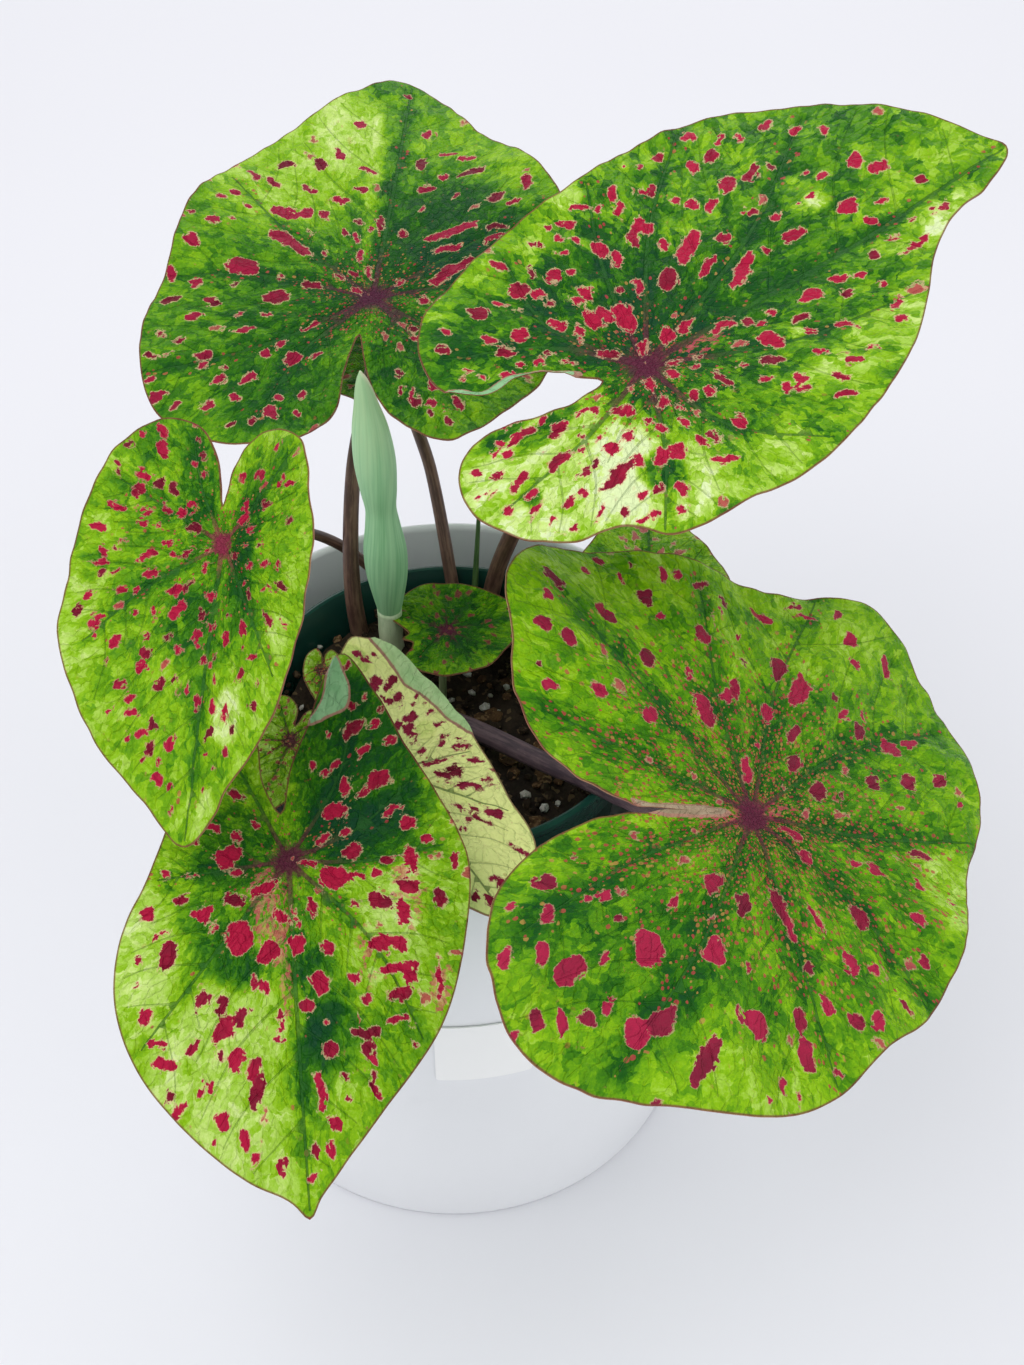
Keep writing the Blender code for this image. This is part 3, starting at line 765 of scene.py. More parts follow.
def distances(points: Array, line: Array) -> tuple[Array, Array]:
    """How far each point lies from a line of points.

    Args:
        points: The places to measure from, in the plane.
        line: The line's points.

    Returns:
        Each place's distance, and how far along the line the nearest place is, from 0 to 1.
    """
    starts, ends = line[:-1], line[1:]
    span = ends - starts
    square = np.maximum((span ** 2).sum(axis=1), 1e-12)
    to = points[:, None, :] - starts[None, :, :]
    part = np.clip((to * span).sum(axis=2) / square, 0, 1)
    gap = np.linalg.norm(to - part[:, :, None] * span[None, :, :], axis=2)
    nearest = gap.argmin(axis=1)
    rows = np.arange(len(points))
    return gap[rows, nearest], (nearest + part[rows, nearest]) / len(starts)


def inside(points: Array, loop: Array) -> Array:
    """Which points lie inside a closed loop.

    Args:
        points: The places to test, in the plane.
        loop: The loop's points.

    Returns:
        True for each place inside.
    """
    ends = np.roll(loop, -1, axis=0)
    x, y = points[:, :1], points[:, 1:]
    crosses = (loop[:, 1] > y) != (ends[:, 1] > y)
    rise = np.where(ends[:, 1] == loop[:, 1], 1e-9, ends[:, 1] - loop[:, 1])
    at = (ends[:, 0] - loop[:, 0]) * (y - loop[:, 1]) / rise + loop[:, 0]
    return (crosses & (x < at)).sum(axis=1) % 2 == 1


def add_object(name: str, data: bpy.types.ID) -> Piece:
    """Put a mesh, a lamp or a camera in the scene.

    Args:
        name: The object's name.
        data: The mesh, the lamp or the camera.

    Returns:
        The object.
    """
    made = bpy.data.objects.new(name, data)
    bpy.context.scene.collection.objects.link(made)
    return made


def new_mesh(name: str, points: list, faces: list, edges: list | None = None) -> bpy.types.Mesh:
    """Make a mesh.

    Args:
        name: The mesh's name.
        points: The points in metres.
        faces: Each face's points, by number.
        edges: Edges without a face.

    Returns:
        The mesh.
    """
    mesh = bpy.data.meshes.new(name)
    mesh.from_pydata(points, edges or [], faces)
    return mesh


def lay_map(mesh: bpy.types.Mesh, name: str, corners: list | Array) -> None:
    """Give a mesh a flat map, with one place for each corner of each face."""
    layer = mesh.uv_layers.new(name=name)
    layer.data.foreach_set("uv", np.array(corners, np.float32).ravel())


def lay_numbers(mesh: bpy.types.Mesh, name: str, values: list | Array) -> None:
    """Give each point of a mesh a number that its finish reads."""
    layer = mesh.attributes.new(name, "FLOAT", "POINT")
    layer.data.foreach_set("value", np.array(values, np.float32))


def coat(piece: Piece, materials: Materials) -> None:
    """Add materials to a piece."""
    for material in materials:
        piece.data.materials.append(material)


def declare(piece: Piece, slot: str, *nodes: str) -> None:
    """Let a piece ride on the plant, and hide the frame's nodes that it stands for.

    Args:
        piece: The piece.
        slot: The name of its material slot; not used.
        nodes: The frame's nodes that it stands for.
    """
    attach(piece, BODY)
    if nodes:
        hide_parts(*nodes)
    log.info("%s: %d faces", piece.name, len(piece.data.polygons))


def select_only(*pieces: Piece) -> None:
    """Select pieces and nothing else, with the first one active.

    Args:
        pieces: The pieces.
    """
    bpy.ops.object.select_all(action="DESELECT")
    for piece in pieces:
        piece.select_set(True)
    bpy.context.view_layer.objects.active = pieces[0]


def shade(piece: Piece, degrees: float) -> None:
    """Shade a piece smooth, but for edges sharper than an angle."""
    select_only(piece)
    bpy.ops.object.shade_smooth_by_angle(angle=math.radians(degrees))


def start_piece(name: str, add: Callable, **settings: object) -> Piece:
    """Add a primitive with nothing else selected.

    Args:
        name: The piece's name.
        add: The operator that adds the primitive.
        settings: The operator's settings.

    Returns:
        The piece, with its place in its mesh.
    """
    bpy.ops.object.select_all(action="DESELECT")
    add(**settings)
    piece = bpy.context.object
    piece.name = name
    bpy.ops.object.transform_apply(location=True, rotation=True, scale=True)
    return piece


def pick_faces(piece: Piece, wanted: Callable) -> None:
    """In edit mode, select only some faces.

    Args:
        piece: The piece.
        wanted: The test that a face passes to be selected.
    """
    mesh = bmesh.from_edit_mesh(piece.data)
    for part in (*mesh.verts, *mesh.edges, *mesh.faces):
        part.select = False
    for face in mesh.faces:
        if wanted(face):
            face.select_set(True)
    bmesh.update_edit_mesh(piece.data)


def apply_modifier(piece: Piece, kind: str, **settings: object) -> None:
    """Add a modifier to a piece and apply it at once.

    Args:
        piece: The piece.
        kind: The modifier's type.
        settings: The modifier's settings.
    """
    select_only(piece)
    made = piece.modifiers.new(kind.lower(), kind)
    for key, value in settings.items():
        setattr(made, key, value)
    bpy.ops.object.modifier_apply(modifier=made.name)


def turned(name: str, profile: list[Spot], steps: int = 144) -> Piece:
    """Turn a profile of radii and heights, in millimetres, about the upright axis.

    Args:
        name: The piece's name.
        profile: Radius and height of each point, from the axis round to the axis again.
        steps: Sides of the turned body.

    Returns:
        The piece, closed and with its faces outwards.
    """
    points = [(radius * MM, 0.0, height * MM) for radius, height in profile]
    edges = [(i, i + 1) for i in range(len(points) - 1)]
    piece = add_object(name, new_mesh(name, points, [], edges))
    select_only(piece)
    bpy.ops.object.mode_set(mode="EDIT")
    bpy.ops.mesh.select_all(action="SELECT")
    bpy.ops.mesh.spin(steps=steps, angle=2 * math.pi, center=(0, 0, 0), axis=(0, 0, 1))
    bpy.ops.mesh.select_all(action="SELECT")
    bpy.ops.mesh.remove_doubles(threshold=1e-6)
    bpy.ops.mesh.normals_make_consistent(inside=False)
    bpy.ops.object.mode_set(mode="OBJECT")
    shade(piece, 35)
    return piece


@dataclass
class Vein:
    """A vein: its line on the blade's plan, its half widths, and whether it is a main one."""

    line: Array
    widths: Array
    main: bool


def heart(length: float, width: float, lobe: float, notch: float = 0.3) -> tuple[Spot, ...]:
    """Outline of a plain heart-shaped blade.

    Args:
        length: Reach from the junction to the tip.
        width: Whole width.
        lobe: Reach from the junction back to the lobes.
        notch: Depth of the notch between the lobes, as a share of their reach.

    Returns:
        The outline's points, from the notch round by the left side and the tip.
    """
    half = width / 2
    left = [
        (-notch * lobe, 0.0),
        (-0.75 * lobe, 0.10 * half),
        (-lobe, 0.38 * half),
        (-0.80 * lobe, 0.75 * half),
        (-0.25 * lobe, 0.98 * half),
        (0.22 * length, 0.95 * half),
        (0.55 * length, 0.66 * half),
        (0.82 * length, 0.28 * half),
        (length, 0.0),
    ]
    right = [(u, -v) for u, v in left[1:-1]]
    return tuple(left + right[::-1])


MARK_CLEAR = -2.2
FAR_OUT = -12.0

# Shifts that lay a grid of points three times more, between its own points.
FINER = np.array([(0.0, 0.0), (1.0, 0.0), (0.5, 0.866), (-0.5, 0.866)])


def shakes(plan: Array, scale: float, level: float) -> Array:
    """A small shift along u and v for each point of a plan, from noise."""
    found = [noise.noise_vector(Vector((u * scale, v * scale, level))) for u, v in plan]
    return np.array([(shift[0], shift[1]) for shift in found]).reshape(-1, 2)


def swells(plan: Array, scale: float, level: float) -> Array:
    """A number about 0 for each point of a plan, from noise."""
    return np.array([noise.noise(Vector((u * scale, v * scale, level))) for u, v in plan])


def reaches(plan: Array, u: float, v: float, reach_u: float, reach_v: float) -> Array:
    """How far each point of a plan lies from an oval's middle, where 1 is on its edge."""
    return np.hypot((plan[:, 0] - u) / reach_u, (plan[:, 1] - v) / reach_v)


def heading(angle: float) -> Array:
    """The unit vector at an angle in the plane."""
    return np.array([math.cos(angle), math.sin(angle)])


@dataclass(frozen=True)
class Blade:
    """A leaf's blade, in the shape that the frame gives it and with the finer forms of the real one.

    u runs from the petiole junction to the tip and v to the blade's left. Sizes are in
    millimetres. The main veins are given by their ends and their bow to the left, the marks by
    place, length away from the junction, width and turn from that direction, and the patches by
    place, reach along u and v, and shift of tone.
    """

    name: str
    junction: Place
    azimuth: float
    pitch: float
    roll: float
    outline: tuple[Spot, ...]
    finish: LeafFinish
    slot: str
    fold: float = 0.10
    droop: float = 8.0
    lobe_droop: float = 0.0
    side_droop: float = 6.0
    wave: float = 2.0
    waves: int = 5
    quilt: float = 1.0
    ruffle: float = 1.0
    ribs: tuple[Row, ...] = ()
    branches: int = 4
    branch_turn: float = 48.0
    branch_bend: float = 16.0
    branch_reach: float = 0.45
    marks: tuple[Row, ...] = ()
    patches: tuple[Row, ...] = ()
    flushes: tuple[Row, ...] = ()
    curls: tuple[tuple[Spot, ...], ...] = ()
    tone: float = 0.15
    rise: float = 0.55
    step: float = 2.3
    thickness: float = 0.45

    def frame(self) -> tuple[Array, Array, Array]:
        """How the blade is turned in the room.

        Returns:
            Unit vectors along the midrib, to the blade's left and up from its face.
        """
        turn, tilt, roll = (math.radians(a) for a in (self.azimuth, self.pitch, self.roll))
        flat = math.cos(tilt)
        along = np.array([flat * math.cos(turn), flat * math.sin(turn), math.sin(tilt)])
        level = np.array([-math.sin(turn), math.cos(turn), 0.0])
        above = np.cross(along, level)
        left = math.cos(roll) * level + math.sin(roll) * above
        up = -math.sin(roll) * level + math.cos(roll) * above
        return along, left, up

    def lift(self, u: Array, v: Array) -> Array:
        """Height over the blade's own plane, as the frame has it.

        Args:
            u: Each point's place along the midrib.
            v: Each point's place to the left of it.

        Returns:
            The heights.
        """
        folded = self.fold * (np.sqrt(v * v + 25) - 5)
        tip = self.droop * (np.maximum(u, 0) / 100) ** 2
        lobes = self.lobe_droop * (np.minimum(u, 0) / 100) ** 2
        sides = self.side_droop * (v / 100) ** 2
        waved = self.wave * (u * u + v * v) / 100 ** 2 * np.sin(self.waves * np.arctan2(v, u) + 0.6)
        return folded - tip - lobes - sides + waved

    def main_ribs(self) -> tuple[Row, ...]:
        """The main veins, which a plain blade takes from its outline.

        Returns:
            Each one's end and bow.
        """
        if self.ribs:
            return self.ribs
        reach = max(u for u, v in self.outline)
        wide = max(v for u, v in self.outline)
        back = min(u for u, v in self.outline)
        ends = [(reach, 0.0)]
        ends += [(share * reach, side * wide * 0.82) for side in (1, -1) for share in (0.62, 0.15)]
        ends += [(0.75 * back, side * 0.45 * wide) for side in (1, -1)]
        return tuple((*end, 0.0) for end in ends)

    def clipped(self, points: list, loop: Array, clear: float) -> Array:
        """A vein's line, as far as it stays inside the outline.

        Args:
            points: Points that the vein passes through.
            loop: The outline's even points.
            clear: How far the vein stays from the outline.

        Returns:
            The line's even points.
        """
        line = spaced(smooth_curve(np.array(points), False), self.step, False)
        good = inside(line, loop) & (distances(line, ringed(loop))[0] > clear)
        first = int(np.argmax(good[:3])) if good[:3].any() else 0
        stop = first
        while stop < len(line) and good[stop]:
            stop += 1
        return line[first:stop]

    def veins(self, loop: Array) -> list[Vein]:
        """The veins.

        Args:
            loop: The outline's even points.

        Returns:
            The main veins, the midrib first, and then their branches.
        """
        thick = 0.5 + float(np.abs(loop).max()) * 0.005
        made: list[Vein] = []
        for k, (u, v, bow) in enumerate(self.main_ribs()):
            end = np.array([u, v], float)
            across = np.array([-v, u]) / math.hypot(u, v) * bow
            line = self.clipped([(0.0, 0.0), end * 0.5 + across, end], loop, 1.6)
            if len(line) > 4:
                width = thick * (1.25 if k == 0 else 1.0)
                made.append(Vein(line, np.linspace(width, width * 0.3, len(line)), True))
        for vein in list(made):
            count = len(vein.line)
            for j in range(self.branches):
                for side in (1, -1):
                    k = int(count * (0.22 + 0.7 * (j + 0.25 + 0.25 * side) / self.branches))
                    if 2 < k < count - 3:
                        self.branch(vein, k, side, loop, made)
        return made

    def branch(self, vein: Vein, k: int, side: int, loop: Array, made: list[Vein]) -> None:
        """Add a branch to the veins, up to where it would meet another one.

        Args:
            vein: The main vein that it leaves.
            k: The point of that vein where it leaves.
            side: 1 for the left and -1 for the right.
            loop: The outline's even points.
            made: The veins so far, to which the branch is added.
        """
        way = vein.line[k + 1] - vein.line[k - 1]
        angle = math.atan2(way[1], way[0]) + side * math.radians(self.branch_turn)
        reach = len(vein.line) * self.step * self.branch_reach
        middle = vein.line[k] + reach * 0.5 * heading(angle)
        angle -= side * math.radians(self.branch_bend)
        end = middle + reach * 0.5 * heading(angle)
        line = self.clipped([vein.line[k], middle, end], loop, 3.0)
        stop = len(line)
        for other in made:
            if other is not vein and stop > 3:
                near = distances(line[3:stop], other.line)[0] < self.step * 1.2
                if near.any():
                    stop = 3 + int(np.argmax(near))
        if stop > 4:
            made.append(Vein(line[:stop], np.linspace(vein.widths[k] * 0.6, 0.2, stop), False))

    def cut(self, loop: Array, veins: list[Vein]) -> tuple[Array, list]:
        """Cut the plan into triangles that follow the outline and the veins.

        Args:
            loop: The outline's even points.
            veins: The veins, whose lines become edges.

        Returns:
            The plan's points and its triangles.
        """
        ring = ringed(loop)
        places = [loop]
        edges = []
        total = len(loop)
        for vein in veins:
            edges += [(total + i, total + i + 1) for i in range(len(vein.line) - 1)]
            places.append(vein.line)
            total += len(vein.line)
        low, high = loop.min(axis=0), loop.max(axis=0)
        rows = []
        for i, v in enumerate(np.arange(low[1], high[1], self.step * math.sqrt(0.75))):
            across = np.arange(low[0] + (i % 2) * self.step / 2, high[0], self.step)
            rows.append(np.column_stack([across, np.full(len(across), v)]))
        grid = np.concatenate(rows)
        grid = grid[inside(grid, loop)]
        fine = np.concatenate([grid + turn * self.step / 2 for turn in FINER])
        fine = fine[inside(fine, loop)]
        # The fine points go to the marks and the rolled margins, whose edges need them.
        for cloud, for_marks, gap in ((grid, False, 0.6), (fine, True, 0.3)):
            marked = self.depths(cloud)[0] > MARK_CLEAR
            cloud = cloud[marked | (self.curled(cloud) >= MARK_CLEAR) if for_marks else ~marked]
            clear = distances(cloud, ring)[0] > self.step * gap
            for vein in veins:
                clear &= distances(cloud, vein.line)[0] > self.step * gap
            places.append(cloud[clear])
        points = [Vector(p) for p in np.concatenate(places)]
        flat, _, faces, *_ = delaunay_2d_cdt(points, edges, [list(range(len(loop)))], 1, 1e-4)
        return np.array([(p.x, p.y) for p in flat]), [tuple(face) for face in faces]

    def fields(self, plan: Array, loop: Array, veins: list[Vein]) -> dict[str, Array]:
        """What the finish and the relief read at each point.

        Args:
            plan: The points.
            loop: The outline's even points.
            veins: The veins.

        Returns:
            Millimetres from the edge, from a vein and from a main vein; vein widths from a vein
            as rib; depth inside a mark and inside a rolled margin; and the mark's random
            number, the tone and the flush.
        """
        edge = distances(plan, ringed(loop))[0]
        rib = np.full(len(plan), 30.0)
        near = np.full(len(plan), 60.0)
        main = np.full(len(plan), 60.0)
        for vein in veins:
            away, at = distances(plan, vein.line)
            width = np.interp(at, np.linspace(0, 1, len(vein.widths)), vein.widths)
            rib = np.minimum(rib, away / width)
            near = np.minimum(near, away)
            if vein.main:
                main = np.minimum(main, away)
        mark, pick = self.depths(plan)
        reach = np.hypot(plan[:, 0], plan[:, 1])
        share = reach / (reach + edge + 0.1)
        tone = self.tone + self.rise * share ** 2
        for u, v, reach_u, reach_v, shift in self.patches:
            tone += shift * np.clip((1.2 - reaches(plan, u, v, reach_u, reach_v)) / 0.4, 0, 1)
        flush = np.zeros(len(plan))
        for u, v, reach_u, reach_v, strength in self.flushes:
            inner = np.clip(1.5 - reaches(plan, u, v, reach_u, reach_v), 0, 1)
            flush = np.maximum(flush, strength * inner)
        return {"edge": edge, "rib": rib, "near": near, "main": main, "mark": mark, "pick": pick,
                "tone": tone, "flush": flush, "curl": self.curled(plan)}

    def depths(self, plan: Array) -> tuple[Array, Array]:
        """How deep each point lies inside the marks.

        Args:
            plan: The points.

        Returns:
            The depths, negative outside, and the random number of the mark that is nearest.
        """
        mark = np.full(len(plan), FAR_OUT)
        pick = np.zeros(len(plan))
        draw = random.Random(self.name)
        plan = plan + shakes(plan, 0.16, 5.0) * 1.9 + shakes(plan, 0.42, 8.0) * 0.9
        for u, v, length, width, *turn in self.marks:
            angle = math.atan2(v, u) + math.radians(turn[0] if turn else 0.0)
            du, dv = plan[:, 0] - u, plan[:, 1] - v
            along = (du * math.cos(angle) + dv * math.sin(angle)) / (length / 2)
            across = (dv * math.cos(angle) - du * math.sin(angle)) / (width / 2)
            away = np.sqrt(along * along + across * across)
            steep = np.sqrt((along / (length / 2)) ** 2 + (across / (width / 2)) ** 2)
            slope = np.maximum(steep / np.maximum(away, 1e-6), 2 / length)
            depth = np.minimum((1 - away) / slope, width / 2)
            pick = np.where(depth > mark, draw.random(), pick)
            mark = np.maximum(mark, depth)
        return mark, pick

    def curled(self, plan: Array) -> Array:
        """How deep each point lies inside the rolled margins, which show the underside.

        Args:
            plan: The points.

        Returns:
            The depths, negative outside.
        """
        depth = np.full(len(plan), FAR_OUT)
        for corners in self.curls:
            loop = smooth_curve(np.array(corners, float), True, 8)
            away = distances(plan, ringed(loop))[0]
            depth = np.maximum(depth, np.where(inside(plan, loop), away, -away))
        return depth

    def relief(self, plan: Array, field: dict[str, Array]) -> Array:
        """The finer forms: veins in grooves, bulges between them and a ruffled or rolled margin.

        Args:
            plan: The points.
            field: What fields gives.

        Returns:
            The height to add at each point.
        """
        bulge = (1 - np.exp(-(field["near"] / 6.0) ** 2)) * np.minimum(field["edge"] / 14.0, 1.0)
        groove = 0.5 * np.exp(-(field["rib"] / 2.0) ** 2)
        broad = swells(plan, 0.055, self.finish.seed)
        fine = swells(plan, 0.13, self.finish.seed + 7)
        margin = np.exp(-(field["edge"] / 16.0) ** 2)
        raised = self.quilt * bulge * (1 + 0.9 * broad) + 0.35 * fine * self.quilt
        lip = 1.8 * np.clip((field["curl"] + 0.4) / 1.2, 0, 1) + 0.8 * np.clip(field["curl"] / 4, 0, 1)
        return raised - groove + self.ruffle * margin * (1.6 * broad + 0.8 * fine) + lip

    def build(self) -> None:
        """Make the blade's piece and let it stand for the frame's node."""
        loop = spaced(smooth_curve(np.array(self.outline, float), True), self.step * 0.8, True)
        veins = self.veins(loop)
        plan, faces = self.cut(loop, veins)
        field = self.fields(plan, loop, veins)
        u, v = plan[:, 0], plan[:, 1]
        height = self.lift(u, v) + self.relief(plan, field)
        ridge = 0.9 * np.exp(-(field["rib"] / 1.6) ** 2) * np.clip(field["edge"] / 20.0, 0.1, 1.0)
        depth = height - self.thickness - ridge
        along, left, up = self.frame()
        flat = np.array(self.junction) + u[:, None] * along + v[:, None] * left
        world = np.concatenate([flat + height[:, None] * up, flat + depth[:, None] * up]) * MM
        mesh = self.sheet(world, faces, len(plan))
        plan = np.concatenate([plan, plan])
        for name in ("edge", "main", "rib", "mark", "pick", "tone", "flush", "curl"):
            lay_numbers(mesh, name, np.tile(field[name], 2))
        corners = np.zeros(len(mesh.loops), np.int32)
        mesh.loops.foreach_get("vertex_index", corners)
        lay_map(mesh, "plan", 0.5 + plan[corners] / UV_SPAN)
        plain = self.name.removeprefix("blade_")
        piece = add_object("leaf_" + plain, mesh)
        coat(piece, self.finish.build(plain))
        shade(piece, 60)
        declare(piece, self.slot, self.name)

    def sheet(self, world: Array, faces: list, count: int) -> bpy.types.Mesh:
        """Close the two faces of the blade with a wall round the margin.

        Args:
            world: Points of the upper face, then of the underside.
            faces: Triangles of the upper face.
            count: Number of points of each face.

        Returns:
            The mesh, with 0 for the upper face, 1 for the underside and 2 for the wall.
        """
        used = {pair: True for face in faces for pair in zip(face, (*face[1:], face[0]))}
        rim = [(a, b) for a, b in used if (b, a) not in used]
        under = [tuple(count + i for i in reversed(face)) for face in faces]
        walls = [(b, a, count + a, count + b) for a, b in rim]
        mesh = new_mesh(self.name, world.tolist(), faces + under + walls)
        kinds = [0] * len(faces) + [1] * len(under) + [2] * len(walls)
        mesh.polygons.foreach_set("material_index", np.array(kinds, np.int32))
        return mesh


SOIL_TOP = 190.0
TUBER_CENTRE = (-4.0, 36.0, 150.0)
TUBER_SEMI_AXES = (25.5, 25.5, 15.0)
TUBER_PULL = 0.85
GAP = 0.3


def root_point(foot: Spot, radius: float) -> Place:
    """Where a stem ends, just clear of the tuber's top.

    Args:
        foot: Where the stem enters the soil.
        radius: The stem's radius there.

    Returns:
        The stem's lower end.
    """
    x = TUBER_CENTRE[0] + TUBER_PULL * (foot[0] - TUBER_CENTRE[0])
    y = TUBER_CENTRE[1] + TUBER_PULL * (foot[1] - TUBER_CENTRE[1])
    away = math.hypot(x - TUBER_CENTRE[0], y - TUBER_CENTRE[1])
    share = max(away - radius, 0) / TUBER_SEMI_AXES[0]
    top = TUBER_CENTRE[2] + TUBER_SEMI_AXES[2] * math.sqrt(max(0.0, 1 - share * share))
    return (x, y, top + 2 * GAP)


@dataclass(frozen=True)
class Stalk:
    """A round stem along a smooth route, with a sheathing foot and a faint unevenness."""

    name: str
    foot: Spot
    route: tuple[Place, ...]
    foot_radius: float
    top_radius: float
    finish: StalkFinish
    knee: float = 6.0
    sides: int = 24
    node: str = ""

    def line(self, blade: Blade | None) -> Array:
        """The centre line.

        Args:
            blade: The blade that the stalk bears, if any.

        Returns:
            Even points from the tuber to just under the blade, or to the route's end.
        """
        points = [root_point(self.foot, self.foot_radius), (*self.foot, SOIL_TOP), *self.route]
        if blade is not None:
            along, _, up = blade.frame()
            seat = np.array(blade.junction) - up * 1.1
            rise = -up - along * 0.25
            rise /= np.linalg.norm(rise)
            points += [tuple(seat + rise * self.knee * self.top_radius),
                       tuple(seat + rise * 0.45 * self.top_radius)]
        return spaced(smooth_curve(np.array(points), False), 2.0, False)

    def build(self, blade: Blade | None = None) -> None:
        """Make the stalk's piece and let it stand for the frame's node.

        Args:
            blade: The blade that the stalk bears, if any.
        """
        line = self.line(blade)
        count = len(line)
        way = np.gradient(line, axis=0)
        way /= np.linalg.norm(way, axis=1, keepdims=True)
        side = np.cross(way[0], (0.3, 1.0, 0.1))
        rings = []
        turns = np.arange(self.sides)[:, None] * (2 * math.pi / self.sides)
        maps = lengths(line) / DECIMETRE
        for k in range(count):
            side = side - way[k] * (side @ way[k])
            side /= np.linalg.norm(side)
            other = np.cross(way[k], side)
            share = k / (count - 1)
            radius = self.foot_radius + (self.top_radius - self.foot_radius) * share
            swell = 0.16 * math.exp(-((line[k][2] - SOIL_TOP) / 16.0) ** 2)
            uneven = 0.05 * noise.noise(Vector((share * 9.0, self.foot[0], self.foot[1])))
            oval = 0.05 * math.sin(share * 5.0 + self.foot[0])
            radius *= 1 + swell + uneven
            across = np.cos(turns) * side * (1 + oval) + np.sin(turns) * other
            rings.append(line[k] + across * radius)
        world = np.concatenate([*rings, line[:1], line[-1:]]) * MM
        n = self.sides
        faces, corners = [], []
        for k in range(count - 1):
            for i in range(n):
                j = (i + 1) % n
                faces.append((k * n + i, k * n + j, (k + 1) * n + j, (k + 1) * n + i))
                corners += [(i / n, maps[k]), ((i + 1) / n, maps[k]),
                            ((i + 1) / n, maps[k + 1]), (i / n, maps[k + 1])]
        for i in range(n):
            j = (i + 1) % n
            faces.append((j, i, count * n))
            corners += [((i + 1) / n, maps[0]), (i / n, maps[0]), (i / n, maps[0])]
            faces.append(((count - 1) * n + i, (count - 1) * n + j, count * n + 1))
            corners += [(i / n, maps[-1]), ((i + 1) / n, maps[-1]), (i / n, maps[-1])]
        mesh = new_mesh(self.name, world.tolist(), faces)
        lay_map(mesh, "along", corners)
        mesh.shade_smooth()
        piece = add_object(self.name, mesh)
        coat(piece, self.finish.build())
        declare(piece, self.finish.slot, self.node or "petiole_" + self.name.removeprefix("stalk_"))


@dataclass(frozen=True)
class Spathe:
    """The furled spathe: a sheet rolled into a swollen tube, a waist and a pointed hood."""

    foot: Spot = (-24.0, 42.0)
    base: float = 226.3
    lean: float = -5.0
    profile: tuple[Spot, ...] = (
        (0, 5.2), (8, 6.6), (20, 8.4), (32, 8.6), (44, 7.0), (52, 6.2), (62, 7.2), (76, 8.1), (90, 7.1),
        (102, 4.9), (110, 3.4), (114, 2.2), (116.5, 1.0))
    lap: float = 1.22
    lap_gap: float = 0.9
    lap_share: float = 0.14
    ribs: int = 9
    rib_height: float = 0.015
    thickness: float = 0.35
    sides: int = 48
    rows: int = 90
    seam_turn: float = -100.0
    seam_twist: float = 70.0

    def build(self) -> None:
        """Make the spathe's piece and let it stand for the frame's node."""
        curve = smooth_curve(np.array(self.profile, float), False)
        tall = self.profile[-1][0]
        heights = np.linspace(0, tall, self.rows)
        radii = np.interp(heights, curve[:, 0], curve[:, 1])
        columns = round(self.sides * self.lap)
        points, maps, seams = [], [], []
        for height, radius in zip(heights, radii):
            share = height / tall
            start = math.radians(self.seam_turn + self.seam_twist * share)
            bend = self.lean * share ** 2
            for i in range(columns + 1):
                part = i / columns
                turn = start + part * self.lap * 2 * math.pi
                over = min(self.lap_gap, radius * self.lap_share) * part
                ribs = self.rib_height * math.cos(turn * self.ribs) * min(1.0, radius / 5)
                away = max(radius - self.lap_gap + over + ribs, 0.3)
                points.append(((self.foot[0] + bend + away * math.cos(turn)) * MM,
                               (self.foot[1] + away * math.sin(turn)) * MM, (self.base + height) * MM))
                maps.append((part * self.lap, share))
                seams.append(radius * (1 - part) * self.lap * 2 * math.pi)
        wide = columns + 1
        faces = []
        for k in range(self.rows - 1):
            for i in range(columns):
                low = k * wide + i
                faces.append((low, low + 1, low + wide + 1, low + wide))
        mesh = new_mesh("spathe_roll", points, faces)
        lay_map(mesh, "along", [maps[i] for face in faces for i in face])
        lay_numbers(mesh, "seam", seams)
        piece = add_object("spathe_roll", mesh)
        coat(piece, SpatheFinish().build())
        apply_modifier(piece, "SOLIDIFY", thickness=self.thickness * MM, offset=-1.0)
        shade(piece, 60)
        declare(piece, "spathe_green", "spathe")


@dataclass(frozen=True)
class CoverPot:
    """The plain white pot outside, with a ring inside on which the grown pot stands."""

    radius: float = 102.5
    height: float = 219.0
    wall: float = 4.0
    ring: Spot = (44.0, 48.0)
    ring_top: float = 66.0

    def build(self) -> None:
        """Make the pot's piece and let it stand for the frame's node."""
        outer, inner, top = self.radius, self.radius - self.wall, self.height
        low, high = self.ring
        profile = [(0, 1.2), (outer - 9, 1.2), (outer - 7, 0), (outer - 3.2, 0), (outer - 1.2, 0.5),
                   (outer - 0.3, 1.6), (outer, 3.4), (outer, 40), (outer, 100), (outer, 160),
                   (outer, top - 2.2), (outer - 0.3, top - 1.0), (outer - 1.0, top - 0.3),
                   (outer - 2.0, top), (inner + 1.0, top - 0.3), (inner + 0.3, top - 1.0),
                   (inner, top - 2.2), (inner, 100), (inner, 6.0), (inner - 0.6, 4.6), (inner - 2, 4.0),
                   (high + 1.2, 4.0), (high, 5.2), (high, self.ring_top - 0.6),
                   (high - 0.6, self.ring_top), (low + 0.6, self.ring_top), (low, self.ring_top - 0.6),
                   (low, 5.2), (low - 1.2, 4.0), (0, 4.0)]
        piece = turned("cover_pot_shell", profile)
        coat(piece, PotFinish("white", (0.86, 0.87, 0.89), (0.81, 0.82, 0.84), 0.36, 0.08).build())
        declare(piece, "white_plastic", "cover_pot")


